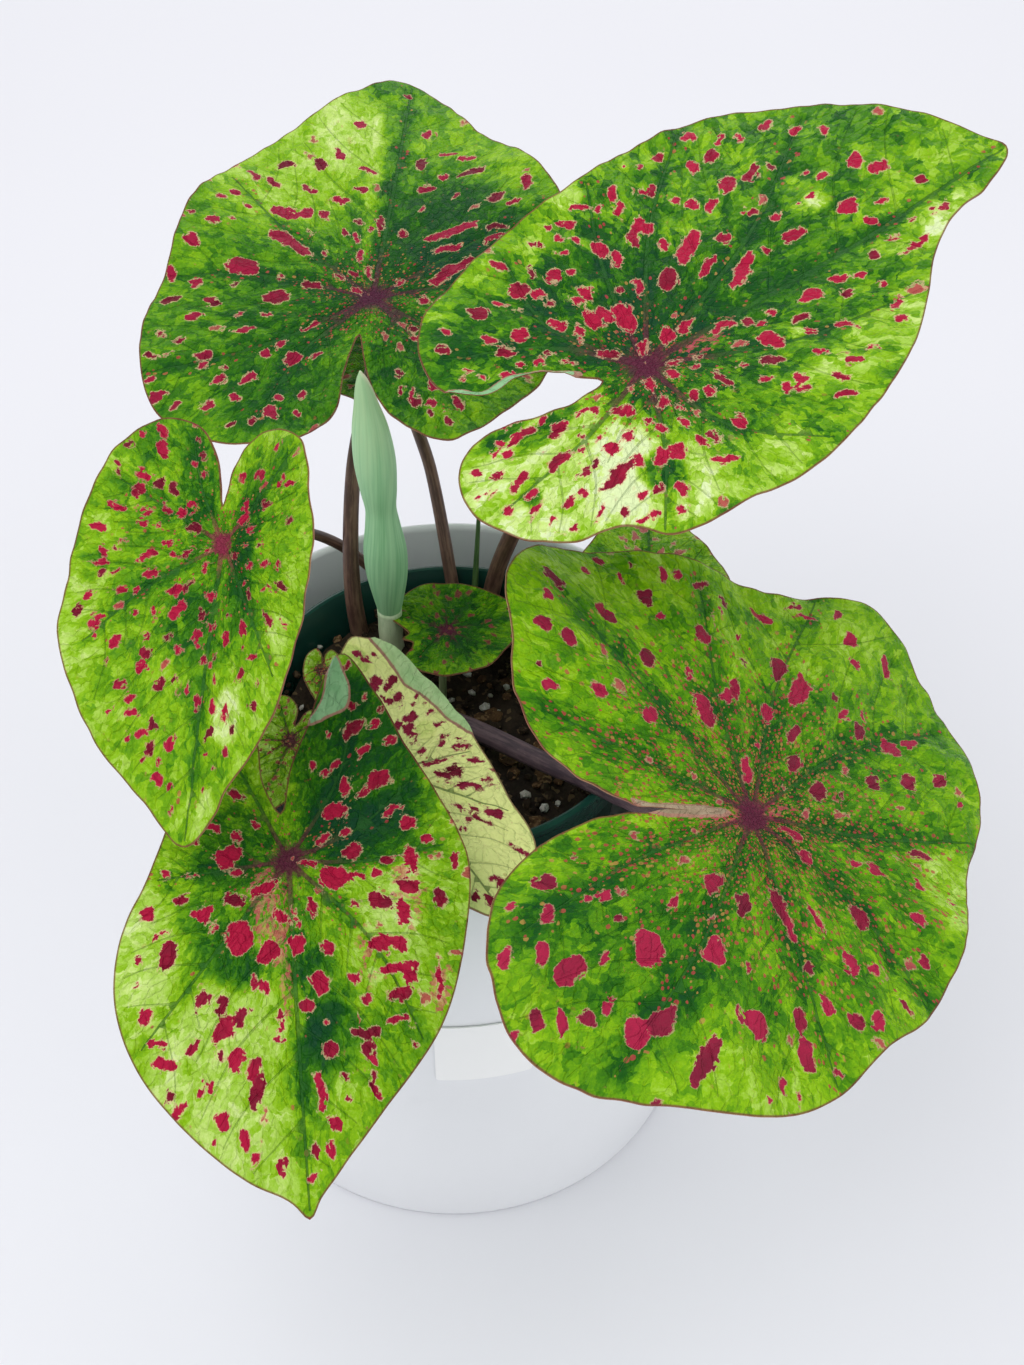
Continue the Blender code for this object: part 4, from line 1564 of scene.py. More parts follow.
@dataclass(frozen=True)
class NurseryPot:
    """The dark green pot inside, with a turned-down rim, steps in its wall and drain holes."""

    rim: float = 76.0
    top: float = 219.0
    base: float = 66.3
    top_radius: float = 72.8
    base_radius: float = 53.0
    wall: float = 1.6
    rim_depth: float = 11.0
    steps: Spot = (110.0, 150.0)
    drains: int = 6
    drain_ring: float = 30.0
    drain_radius: float = 5.0

    def outside(self, height: float) -> float:
        """Radius of the wall's outer face at a height over the floor."""
        share = (height - self.base) / (self.top - self.base)
        return self.base_radius + (self.top_radius - self.base_radius) * share

    def inside(self, height: float) -> float:
        """Radius of the wall's inner face at a height over the floor."""
        return self.outside(height) - self.wall

    def build(self) -> None:
        """Make the pot's piece and let it stand for the frame's node."""
        top, base, rim = self.top, self.base, self.rim
        band = top - self.rim_depth
        profile = [(0, base + 0.8), (self.base_radius - 8, base + 0.8), (self.base_radius - 6, base),
                   (self.base_radius - 2, base), (self.base_radius - 0.5, base + 0.6),
                   (self.outside(base + 3), base + 3)]
        for step in self.steps:
            profile += [(self.outside(step) - 0.1, step), (self.outside(step) + 0.5, step + 0.8)]
            profile += [(self.outside(step) + 0.6, step + 2.4), (self.outside(step + 4), step + 4)]
        profile += [(self.outside(band), band - 0.4), (rim - 0.9, band - 0.2), (rim - 0.2, band + 0.4),
                    (rim, band + 1.4), (rim - 0.3, band + 3.0), (rim - 0.3, top - 3.4), (rim, top - 2.2),
                    (rim - 0.3, top - 0.9), (rim - 1.1, top - 0.2), (rim - 2.0, top),
                    (rim - 3.0, top - 0.5), (rim - 3.6, top - 1.8), (self.inside(top - 7), top - 7),
                    (self.inside(150), 150), (self.inside(base + 4), base + 4),
                    (self.inside(base + 4) - 2, base + 2), (0, base + 2)]
        piece = turned("nursery_pot_shell", profile)
        self.drill(piece)
        coat(piece, PotFinish("green", (0.006, 0.050, 0.038), (0.020, 0.095, 0.075), 0.26, 0.15).build())
        declare(piece, "green_plastic", "nursery_pot")

    def drill(self, pot: Piece) -> None:
        """Cut the drain holes through the floor.

        Args:
            pot: The pot's piece.
        """
        for k in range(self.drains):
            turn = 2 * math.pi * (k + 0.5) / self.drains
            x, y = self.drain_ring * math.cos(turn) * MM, self.drain_ring * math.sin(turn) * MM
            drill = start_piece("drill", bpy.ops.mesh.primitive_cylinder_add, vertices=24,
                                radius=self.drain_radius * MM, depth=12 * MM,
                                location=(x, y, self.base * MM))
            apply_modifier(pot, "BOOLEAN", operation="DIFFERENCE", solver="EXACT", object=drill)
            bpy.data.objects.remove(drill)


@dataclass(frozen=True)
class Soil:
    """The potting soil, with crumbs, perlite and bark lying on it."""

    pot: NurseryPot
    edge_top: float = 187.0
    heap: float = 17.0
    rings: int = 44
    strewn: float = 68.0
    seed: int = 5

    def height(self, x: float, y: float) -> float:
        """Height of the uneven top, with a heap at the back left.

        Args:
            x: The place from left to right.
            y: The place from front to back.

        Returns:
            The height over the floor.
        """
        mound = 4.0 * (1 - (x * x + y * y) / 70 ** 2)
        broad = 1.2 * math.sin(0.11 * x + 1.3) * math.cos(0.09 * y)
        heap = self.heap * min(max(((y - x) / 1.41 - 18.0) / 36.0, 0.0), 1.0)
        return SOIL_TOP - 2 + mound + broad + heap + 0.7 * math.sin(0.23 * y + 0.4 * x)

    def build(self) -> None:
        """Make the soil's body and what is strewn on it."""
        self.body()
        chips = (
            ("soil_crumbs", 420, 0.9, 2.4, 0.8, GroundFinish(
                "crumb", (0.012, 0.008, 0.005), (0.045, 0.028, 0.016), (0.12, 0.08, 0.045), 120.0)),
            ("soil_bark", 130, 1.6, 4.2, 0.45, GroundFinish(
                "bark", (0.045, 0.022, 0.010), (0.13, 0.068, 0.030), (0.26, 0.16, 0.08), 160.0)),
            ("soil_perlite", 46, 1.1, 2.3, 0.85, GroundFinish(
                "perlite", (0.42, 0.38, 0.32), (0.62, 0.60, 0.55), (0.75, 0.73, 0.70), 200.0)))
        for k, (name, count, low, high, flat, finish) in enumerate(chips):
            self.strew(name, count, (low, high), flat, finish, random.Random(self.seed + k))

    def body(self) -> None:
        """Fill the pot: a cone whose top face is inset many times and then made uneven."""
        bottom = self.pot.base + 2.3
        low, high = self.pot.inside(bottom) - GAP, self.pot.inside(self.edge_top) - GAP
        piece = start_piece("soil_body", bpy.ops.mesh.primitive_cone_add, vertices=96, radius1=low * MM,
                            radius2=high * MM, depth=(self.edge_top - bottom) * MM,
                            location=(0, 0, (self.edge_top + bottom) / 2 * MM))
        bpy.ops.object.mode_set(mode="EDIT")
        bpy.ops.mesh.select_mode(type="FACE")
        pick_faces(piece, lambda face: face.normal.z > 0.9)
        for _ in range(self.rings):
            bpy.ops.mesh.inset(thickness=high * 0.985 / self.rings * MM)
        bpy.ops.object.mode_set(mode="OBJECT")
        for vertex in piece.data.vertices:
            x, y, z = (c / MM for c in vertex.co)
            away = math.hypot(x, y)
            if z < self.edge_top - 1:
                continue
            rough = noise.fractal(Vector((x * 0.22, y * 0.22, 3.0)), 0.7, 2.1, 5)
            lumps = noise.noise(Vector((x * 0.07, y * 0.07, 9.0)))
            share = min((high - away) / 3.0, 1.0)
            top = self.height(x, y) + rough * 1.1 + lumps * 1.4
            vertex.co.z = (self.edge_top + share * (top - self.edge_top)) * MM
        shade(piece, 50)
        finish = GroundFinish("soil", (0.010, 0.007, 0.005), (0.040, 0.026, 0.016), (0.15, 0.10, 0.05),
                              90.0, 0.1)
        coat(piece, finish.build())
        declare(piece, "potting_soil", "potting_soil")

    def strew(self, name: str, count: int, sizes: Spot, flat: float, finish: GroundFinish,
              draw: random.Random) -> None:
        """Model one chip and strew copies of it over the soil, joined into one piece.

        Args:
            name: The piece's name.
            count: How many chips.
            sizes: Smallest and largest radius.
            flat: Height of a chip as a share of its width.
            finish: The chips' finish.
            draw: The source of random draws.
        """
        chip = start_piece(name, bpy.ops.mesh.primitive_ico_sphere_add, subdivisions=1, radius=MM)
        chips = [chip]
        coat(chip, finish.build())
        shape = [vertex.co.copy() for vertex in chip.data.vertices]
        for k in range(1, count):
            chips.append(add_object(name + "_%d" % k, chip.data.copy()))
        for copy in chips:
            away = self.strewn * math.sqrt(draw.random())
            turn = draw.uniform(0, 2 * math.pi)
            x, y = away * math.cos(turn), away * math.sin(turn)
            size = sizes[0] + (sizes[1] - sizes[0]) * draw.random() ** 2
            long = draw.uniform(1.0, 1.7 if flat < 0.8 else 1.25)
            spin, tilt = draw.uniform(0, math.pi), draw.uniform(-0.4, 0.4)
            place = Vector((x, y, self.height(x, y) + size * flat * 0.35))
            for vertex, point in zip(copy.data.vertices, shape):
                knock = 1 + 0.3 * noise.noise(point * 900 + Vector((x, y, 0)))
                px, py, pz = (c / MM * size * knock for c in point)
                px, pz = px * long, pz * flat + px * tilt
                turned_x = px * math.cos(spin) - py * math.sin(spin)
                turned_y = px * math.sin(spin) + py * math.cos(spin)
                vertex.co = (place + Vector((turned_x, turned_y, pz))) * MM
        select_only(*chips)
        bpy.ops.object.join()
        shade(chip, 40)
        declare(chip, "potting_soil")


@dataclass(frozen=True)
class Label:
    """The blank paper label, which bends round the front of the pot."""

    width: float = 38.0
    height: float = 36.0
    middle: float = 128.0
    bearing: float = -82.0
    inner: float = 102.8
    thickness: float = 0.6
    corner: float = 1.5
    cuts: int = 14
    peel: float = 2.5

    def build(self) -> None:
        """Cut the sheet flat, then lay it round the pot."""
        piece = start_piece("paper_label", bpy.ops.mesh.primitive_plane_add, size=1.0)
        for vertex in piece.data.vertices:
            vertex.co.x *= self.width * MM
            vertex.co.y *= self.height * MM
        bpy.ops.object.mode_set(mode="EDIT")
        bpy.ops.mesh.select_all(action="SELECT")
        bpy.ops.mesh.bevel(offset=self.corner * MM, segments=4, affect="VERTICES")
        for k in range(1, self.cuts):
            bpy.ops.mesh.select_all(action="SELECT")
            at = (k / self.cuts - 0.5) * self.width * MM
            bpy.ops.mesh.bisect(plane_co=(at, 0, 0), plane_no=(1, 0, 0))
        bpy.ops.object.mode_set(mode="OBJECT")
        apply_modifier(piece, "SOLIDIFY", thickness=self.thickness * MM, offset=1.0)
        for vertex in piece.data.vertices:
            x, y, z = (c / MM for c in vertex.co)
            turn = math.radians(self.bearing) + x / self.inner
            lifted = self.peel * max(0.0, x / self.width + y / self.height - 0.55) ** 2
            radius = self.inner + z + lifted
            place = (radius * math.cos(turn), radius * math.sin(turn), self.middle + y)
            vertex.co = tuple(c * MM for c in place)
        shade(piece, 35)
        coat(piece, PaperFinish().build())
        declare(piece, "label_paper", "blank_label")


@dataclass(frozen=True)
class Studio:
    """A plain pale floor, soft light from large lamps and the camera."""

    eye: Place = (0.025, -0.505, 0.7515)
    tilt: float = 43.9
    lens: float = 50.0
    floor: Colour = (0.80, 0.80, 0.84)
    sky: Colour = (0.97, 0.98, 1.0)
    sky_light: float = 0.74
    lamps: tuple[tuple[str, Place, float, float], ...] = (
        ("lamp_key", (-0.7, -0.5, 1.9), 1.4, 15.0),
        ("lamp_fill", (1.3, -0.9, 1.5), 1.6, 7.0),
        ("lamp_back", (0.2, 1.6, 1.4), 1.6, 7.0),
    )

    def build(self) -> None:
        """Set up the camera, the floor, the lamps and the surroundings."""
        camera = bpy.data.cameras.new("camera")
        camera.lens = self.lens
        camera.sensor_width = 36.0
        camera.clip_start = 0.01
        holder = add_object("camera", camera)
        holder.location = self.eye
        holder.rotation_euler = (math.radians(self.tilt), 0, 0)
        bpy.context.scene.camera = holder
        ground = start_piece("floor", bpy.ops.mesh.primitive_plane_add, size=8.0)
        paint = Paint("studio_floor", roughness=0.9, specular_ior_level=0.1)
        cloud = paint.grain(paint.coordinates("Object"), 1.5, 2.0)
        cooler = tuple(c * 0.98 for c in self.floor)
        paint.set_shader("Base Color", paint.mix(cloud.fade(-0.3, 0.3), self.floor, cooler))
        ground.data.materials.append(paint.material)
        for lamp in self.lamps:
            self.hang(*lamp)
        world = bpy.context.scene.world or bpy.data.worlds.new("studio")
        bpy.context.scene.world = world
        world.use_nodes = True
        sky = world.node_tree.nodes["Background"]
        sky.inputs[0].default_value = (*self.sky, 1.0)
        sky.inputs[1].default_value = self.sky_light
        bpy.context.scene.view_settings.view_transform = "Standard"

    def hang(self, name: str, place: Place, size: float, power: float) -> None:
        """Hang a square lamp that faces the plant.

        Args:
            name: The lamp's name.
            place: Where it hangs, in metres.
            size: Its side in metres.
            power: Its power in watts.
        """
        light = bpy.data.lights.new(name, "AREA")
        light.size = size
        light.energy = power
        holder = add_object(name, light)
        holder.location = place
        toward = Vector((0, 0, 0.2)) - Vector(place)
        holder.rotation_euler = toward.to_track_quat("-Z", "Y").to_euler()


BACK_LEFT = (
    (-20, 4), (-39, 8), (-62, 11), (-76, 24), (-77, 48), (-63, 76), (-30, 86), (10, 82), (58, 74),
    (88, 56), (108, 37), (130, 18), (146, -4), (135, -20), (109, -39), (86, -58), (62, -71), (22, -78),
    (-20, -75), (-46, -65), (-64, -51), (-75, -34), (-64, -14), (-46, -2), (-31, 2))
UPPER_RIGHT = (
    (-15, 5), (-24, 16), (-36, 24), (-47, 25), (-56, 36), (-54, 51), (-43, 63), (-18, 71), (33, 75),
    (72, 76), (97, 73), (127, 55), (149, 37), (166, 14), (177, -6), (154, -16), (130, -20), (112, -28),
    (93, -41), (69, -55), (42, -64), (14, -68), (-16, -64), (-42, -56), (-50, -43), (-66, -36),
    (-78, -22), (-81, -6), (-75, 8), (-63, 15), (-51, 14), (-38, 8), (-27, 5))
HANGING_LEFT = (
    (-13, -2), (-26, 0), (-37, 8), (-33, 29), (-15, 36), (8, 42), (34, 39), (57, 32), (80, 18), (100, 0),
    (86, -17), (72, -32), (54, -43), (34, -50), (12, -51), (-14, -47), (-34, -39), (-42, -28), (-40, -14),
    (-26, -5))
FRONT_LEFT = (
    (-17, -2), (-33, 2), (-47, 8), (-63, 14), (-76, 22), (-60, 33), (-38, 42), (-18, 52), (6, 60),
    (32, 57), (58, 48), (84, 27), (100, 12), (109, 4), (115, 0), (110, -5), (102, -19), (84, -39),
    (66, -52), (46, -58), (24, -56), (2, -46), (-22, -37), (-48, -30), (-60, -18), (-46, -9), (-28, -7))
LOWER_RIGHT = (
    (-10, 1), (-24, 1.2), (-38, 2.4), (-54, 9), (-66, 19), (-72, 42), (-69, 70), (-66, 92), (-53, 105),
    (-25, 108), (4, 103), (30, 96), (52, 94), (68, 93.5), (81, 89), (90, 81), (96, 67), (102, 52),
    (105, 38), (101, 16), (96, -2), (84, -18), (72, -38), (58, -57), (40, -73), (20, -82), (0, -95),
    (-30, -101), (-60, -95), (-86, -85), (-104, -70), (-106, -50), (-96, -26), (-78, -10), (-58, -1),
    (-37, 1))
PALE_FOLDED = (
    (-14, 2), (-32, 10), (-52, 17), (-56, 25), (-44, 33), (-18, 36), (12, 34), (36, 29), (55, 25),
    (67, 12), (71, 0), (58, -11), (34, -17), (6, -18), (-14, -15), (-24, -8), (-20, -1))

BACK_LEFT_MARKS = (
    (106, 12, 8, 5), (85, 19, 8, 3), (79, 27, 9, 4), (80, 41, 7, 5, 40), (75, 6, 6, 3, 50),
    (72, 54, 7, 3), (68, 45, 9, 3), (63, 29, 7, 3, 20), (62, 8, 6, 3, 60), (55, 16, 8, 3, 60),
    (58, 59, 5, 4), (53, 64, 4, 3), (49, 53, 3, 2), (47, 38, 13, 7, 25), (47, 30, 7, 6), (46, 22, 6, 3),
    (37, 66, 6, 4), (27, 73, 7, 5), (43, 75, 3, 3), (40, 58, 4, 2), (30, 37, 13, 7), (25, 30, 11, 5),
    (24, 21, 3, 2), (36, 27, 3, 2), (10, 79, 9, 4, -75), (14, 52, 13, 8), (5, 69, 5, 4, 90),
    (4, 54, 3, 2), (9, 37, 3, 2), (5, 24, 9, 4), (-3, 37, 10, 7), (-5, 78, 7, 5), (-5, 63, 5, 4),
    (-8, 60, 5, 4), (43, 0, 10, 3), (38, 4, 3, 2), (42, 8, 3, 2), (36, 13, 5, 3), (32, 8, 5, 2),
    (23, 7, 7, 3), (13, 2, 6, 2), (12, 8, 4, 3), (10, 13, 5, 3), (4, 6, 5, 3), (-16, 67, 6, 3),
    (-13, 40, 5, 2), (-13, 50, 4, 2), (-17, 23, 7, 2), (-22, 48, 9, 2), (-27, 34, 5, 3), (-29, 72, 5, 3),
    (-25, 79, 4, 2), (-33, 39, 5, 4), (-34, 28, 8, 6), (-32, 19, 4, 2), (-36, 62, 7, 4), (-40, 61, 5, 3),
    (-38, 75, 5, 2), (-38, 81, 3, 3), (-40, 54, 3, 2), (-46, 55, 6, 3), (-45, 44, 7, 3), (-56, 77, 7, 3),
    (-60, 69, 5, 3), (-58, 58, 7, 4), (-56, 48, 5, 4), (-67, 49, 3, 2), (-66, 40, 4, 3),
    (-62, 34, 8, 5, 45), (-62, 24, 4, 3), (-52, 23, 5, 3), (-55, 31, 3, 3), (-48, 80, 4, 3),
    (135, -7, 4, 3), (106, -16, 5, 3), (83, -15, 10, 5), (91, -26, 8, 3, 100), (87, -34, 7, 3, -40),
    (74, -25, 4, 3), (75, -36, 11, 4, -45), (66, -18, 6, 4, -40), (58, -30, 4, 2), (65, -59, 8, 4, 40),
    (55, -47, 9, 6), (52, -54, 7, 2), (51, -17, 4, 2), (38, -48, 7, 2, -20), (36, -9, 4, 3),
    (35, -29, 23, 4, -30), (25, -28, 13, 3, -27), (14, -31, 19, 4, 12), (9, -25, 8, 4), (31, -46, 9, 3),
    (-3, -20, 5, 3), (8, -10, 4, 2), (-18, -17, 4, 3), (-22, -17, 3, 3), (-40, -12, 4, 3),
    (-52, -18, 7, 2), (-49, -14, 4, 2), (-55, -20, 5, 4), (-47, -27, 7, 6), (-57, -35, 8, 3),
    (-66, -32, 5, 2), (-62, -26, 3, 2), (-57, -26, 4, 3))

UPPER_RIGHT_MARKS = (
    (87, 68, 6, 5), (71, 67, 6, 4), (95, 59, 7, 3), (100, 55, 4, 2), (86, 55, 7, 4), (76, 55, 8, 4),
    (112, 54, 7, 4), (118, 45, 6, 4), (125, 37, 5, 4), (89, 39, 11, 4), (97, 36, 4, 3), (78, 40, 10, 5),
    (103, 27, 4, 2), (107, 22, 6, 3), (122, 19, 9, 5, 36), (127, 12, 9, 4), (135, -1, 6, 4),
    (103, 6, 9, 6), (115, 1, 5, 3), (105, -4, 4, 3), (96, 18, 5, 2), (91, 16, 2, 2), (80, 18, 4, 3),
    (78, 7, 9, 5), (73, 27, 3, 2), (75, 25, 3, 2), (67, 37, 8, 4), (62, 42, 5, 3), (59, 47, 3, 3),
    (57, 55, 5, 3), (54, 58, 4, 3), (62, 66, 3, 3), (57, 70, 2, 2), (36, 43, 10, 4), (41, 46, 8, 5),
    (42, 43, 6, 4), (41, 33, 5, 4), (47, 28, 17, 6), (58, 22, 6, 3), (45, 16, 11, 4), (53, 8, 18, 4, 16),
    (31, 22, 9, 6), (22, 26, 6, 3), (67, 9, 3, 2), (76, -15, 8, 3), (62, -16, 11, 4), (73, -23, 5, 4),
    (60, -32, 6, 4), (82, -20, 4, 2), (85, -27, 4, 2), (82, -36, 8, 2, 36), (93, -16, 5, 2, 20),
    (108, -21, 16, 2, 21), (131, -14, 10, 2, 15), (118, -12, 4, 1), (105, -14, 5, 1), (76, -43, 3, 2),
    (58, -47, 5, 3), (48, -47, 6, 3), (41, -49, 6, 3), (36, -55, 6, 2, 40), (31, -41, 5, 4),
    (43, -37, 4, 2), (25, -40, 4, 3), (28, -44, 4, 2), (30, -28, 9, 4, 22), (37, -21, 9, 5, -40),
    (46, -13, 5, 2, -50), (40, -13, 4, 3), (52, -21, 6, 3), (50, -27, 5, 2), (62, -36, 2, 2),
    (30, -5, 10, 3), (38, -9, 4, 3), (14, 4, 8, 5), (22, 3, 8, 4), (5, 6, 6, 3), (7, -5, 5, 3),
    (4, -9, 5, 3), (13, -23, 9, 4, -35), (7, -23, 4, 3), (22, -32, 4, 2), (22, -22, 3, 2), (15, -9, 4, 2),
    (11, -12, 2, 2), (-5, -7, 6, 3), (1, -20, 5, 3), (9, 19, 11, 7), (0, 26, 9, 4), (4, 24, 8, 5),
    (1, 35, 6, 4), (6, 35, 7, 4), (-10, 32, 6, 4), (-7, 25, 4, 3), (-9, 22, 3, 2), (-10, 51, 6, 5),
    (-6, 46, 5, 4), (-18, 51, 5, 2), (-6, 40, 4, 2), (-27, 53, 7, 5), (-40, 54, 4, 3), (-32, 42, 5, 4),
    (-30, 35, 6, 4), (-23, 36, 6, 4), (-46, 49, 4, 3), (-45, 38, 4, 2), (-43, 32, 4, 3), (-37, 28, 5, 3),
    (-49, 36, 2, 2), (-7, 64, 7, 4), (-1, 55, 5, 3), (3, 48, 6, 4), (9, 45, 3, 3), (23, 46, 8, 4),
    (19, 54, 4, 3), (24, 39, 7, 3), (22, 63, 7, 3, 67), (30, 64, 6, 3, 70), (35, 60, 4, 3),
    (8, 62, 6, 2, 55), (15, 65, 3, 2), (16, 59, 3, 2), (12, 53, 4, 2, 60), (44, 62, 7, 3),
    (41, 55, 7, 3, -15), (15, 29, 3, 2), (-6, 12, 7, 3, 22), (-21, 25, 4, 2), (-30, 27, 3, 2),
    (-25, 24, 4, 2), (-18, 18, 4, 1), (-39, 1, 5, 4), (-46, 7, 5, 3), (-52, 7, 5, 4), (-56, 10, 3, 3),
    (-57, 4, 4, 3), (-60, 8, 3, 2), (-69, 5, 4, 3), (-65, 1, 4, 3), (-61, -6, 6, 3), (-65, -8, 4, 3),
    (-63, -13, 4, 3), (-72, -5, 4, 2), (-76, -3, 2, 2), (-73, -13, 6, 3), (-66, -19, 7, 2),
    (-49, -10, 10, 4), (-45, -10, 6, 3), (-40, -11, 4, 2), (-40, -18, 4, 3), (-46, -18, 5, 3),
    (-32, -18, 5, 4), (-25, -17, 5, 4), (-32, -12, 2, 2), (-35, -6, 2, 2), (-38, -27, 16, 5, -26),
    (-30, -28, 5, 3), (-24, -32, 6, 4), (-19, -34, 7, 5), (-15, -23, 5, 3), (-9, -27, 4, 3),
    (-16, -18, 3, 3), (-7, -15, 5, 3), (0, -21, 4, 3), (-5, -21, 4, 2), (-10, -36, 5, 3), (-6, -38, 5, 2),
    (4, -38, 6, 4), (-11, -47, 9, 3, 70), (-28, -46, 7, 4), (-34, -51, 4, 3), (-33, -40, 4, 3),
    (-38, -39, 4, 3), (-43, -46, 7, 2, -75), (-58, -25, 5, 3), (-51, -25, 4, 3), (-65, -26, 2, 1),
    (-62, -33, 2, 2), (-46, -39, 4, 2), (-53, -34, 5, 1), (-21, -8, 4, 3), (-18, -10, 5, 4),
    (-36, 1, 3, 3), (-29, 0, 4, 2), (-25, -2, 4, 3), (-40, 7, 3, 2), (-47, 12, 4, 2), (-51, 14, 2, 2))

HANGING_LEFT_MARKS = (
    (-37, -26, 5, 3), (-36, -33, 3, 2), (-32, -37, 3, 2), (-31, -25, 5, 4), (-34, -14, 3, 2),
    (-30, -11, 3, 2), (-27, -13, 3, 2), (-24, -11, 2, 2), (-22, -30, 4, 3), (-20, -25, 4, 3),
    (-26, -40, 2, 2), (-22, -39, 3, 2), (-17, -31, 5, 4), (-17, -20, 5, 3), (-10, -38, 6, 3),
    (-9, -27, 3, 2), (-11, -21, 4, 2), (-9, -15, 3, 3), (-12, -12, 3, 3), (-3, -43, 6, 3),
    (-5, -28, 3, 2), (-4, -23, 2, 2), (-5, -11, 5, 4), (0, -18, 4, 2), (4, -16, 3, 2), (4, -12, 4, 2),
    (2, -6, 3, 1), (5, -40, 3, 3), (1, -33, 2, 2), (4, -34, 3, 1), (5, -24, 5, 3), (7, -26, 4, 2),
    (9, -41, 5, 2), (13, -39, 3, 2), (12, -34, 3, 2), (12, -23, 6, 3), (8, -4, 4, 2), (16, -14, 6, 4),
    (15, -9, 5, 2), (20, -42, 5, 3), (17, -37, 2, 2), (18, -32, 3, 2), (17, -27, 3, 2), (26, -45, 3, 2),
    (27, -38, 5, 2), (30, -39, 4, 2), (25, -26, 2, 2), (24, -20, 3, 2), (23, -12, 7, 4), (35, -31, 4, 3),
    (34, -39, 2, 2), (33, -22, 3, 2), (33, -14, 3, 2), (31, -5, 4, 3), (24, -3, 4, 2), (38, -21, 3, 3),
    (36, -9, 3, 2), (35, -3, 2, 2), (42, -34, 4, 2), (43, -22, 4, 3), (39, -1, 3, 2), (48, -16, 6, 3),
    (46, -11, 3, 1), (48, -5, 5, 2), (49, -28, 4, 2), (53, -25, 3, 3), (53, -1, 4, 3), (58, -31, 3, 2),
    (58, -23, 4, 2), (61, -16, 5, 2), (66, -24, 3, 2), (65, -19, 4, 3), (69, -16, 4, 3), (67, -9, 4, 3),
    (73, -18, 3, 2), (73, -12, 3, 2), (79, -12, 4, 3), (81, -8, 3, 1), (87, 0, 2, 1), (89, -6, 2, 1),
    (81, 6, 2, 2), (73, 0, 2, 1), (-13, 7, 5, 3), (-23, 4, 5, 2), (-22, 12, 3, 3), (-31, 19, 3, 2),
    (-12, 17, 4, 3), (-8, 8, 5, 3), (-5, 12, 3, 3), (-20, 22, 3, 2), (-18, 26, 5, 2), (-6, 29, 4, 2),
    (5, 6, 4, 2), (8, 14, 3, 2), (8, 20, 4, 2), (9, 27, 3, 3), (2, 12, 2, 1), (2, 18, 2, 2),
    (16, 30, 6, 2), (16, 23, 4, 2), (18, 15, 4, 2), (17, -1, 4, 2), (14, 11, 2, 2), (26, 25, 5, 2),
    (29, 14, 5, 2), (32, 7, 4, 3), (29, 0, 4, 2), (25, 8, 2, 1), (28, 32, 4, 1), (35, 15, 3, 1),
    (37, 18, 3, 1), (38, 21, 2, 1), (38, 4, 3, 1), (41, 3, 2, 2), (45, 15, 6, 3, -40), (47, 23, 2, 2),
    (46, 5, 2, 1), (54, 6, 4, 2), (56, 11, 7, 3), (54, 23, 4, 2), (63, 6, 4, 3), (62, 15, 4, 2),
    (70, 14, 4, 2), (70, 5, 2, 1), (75, 9, 2, 1))

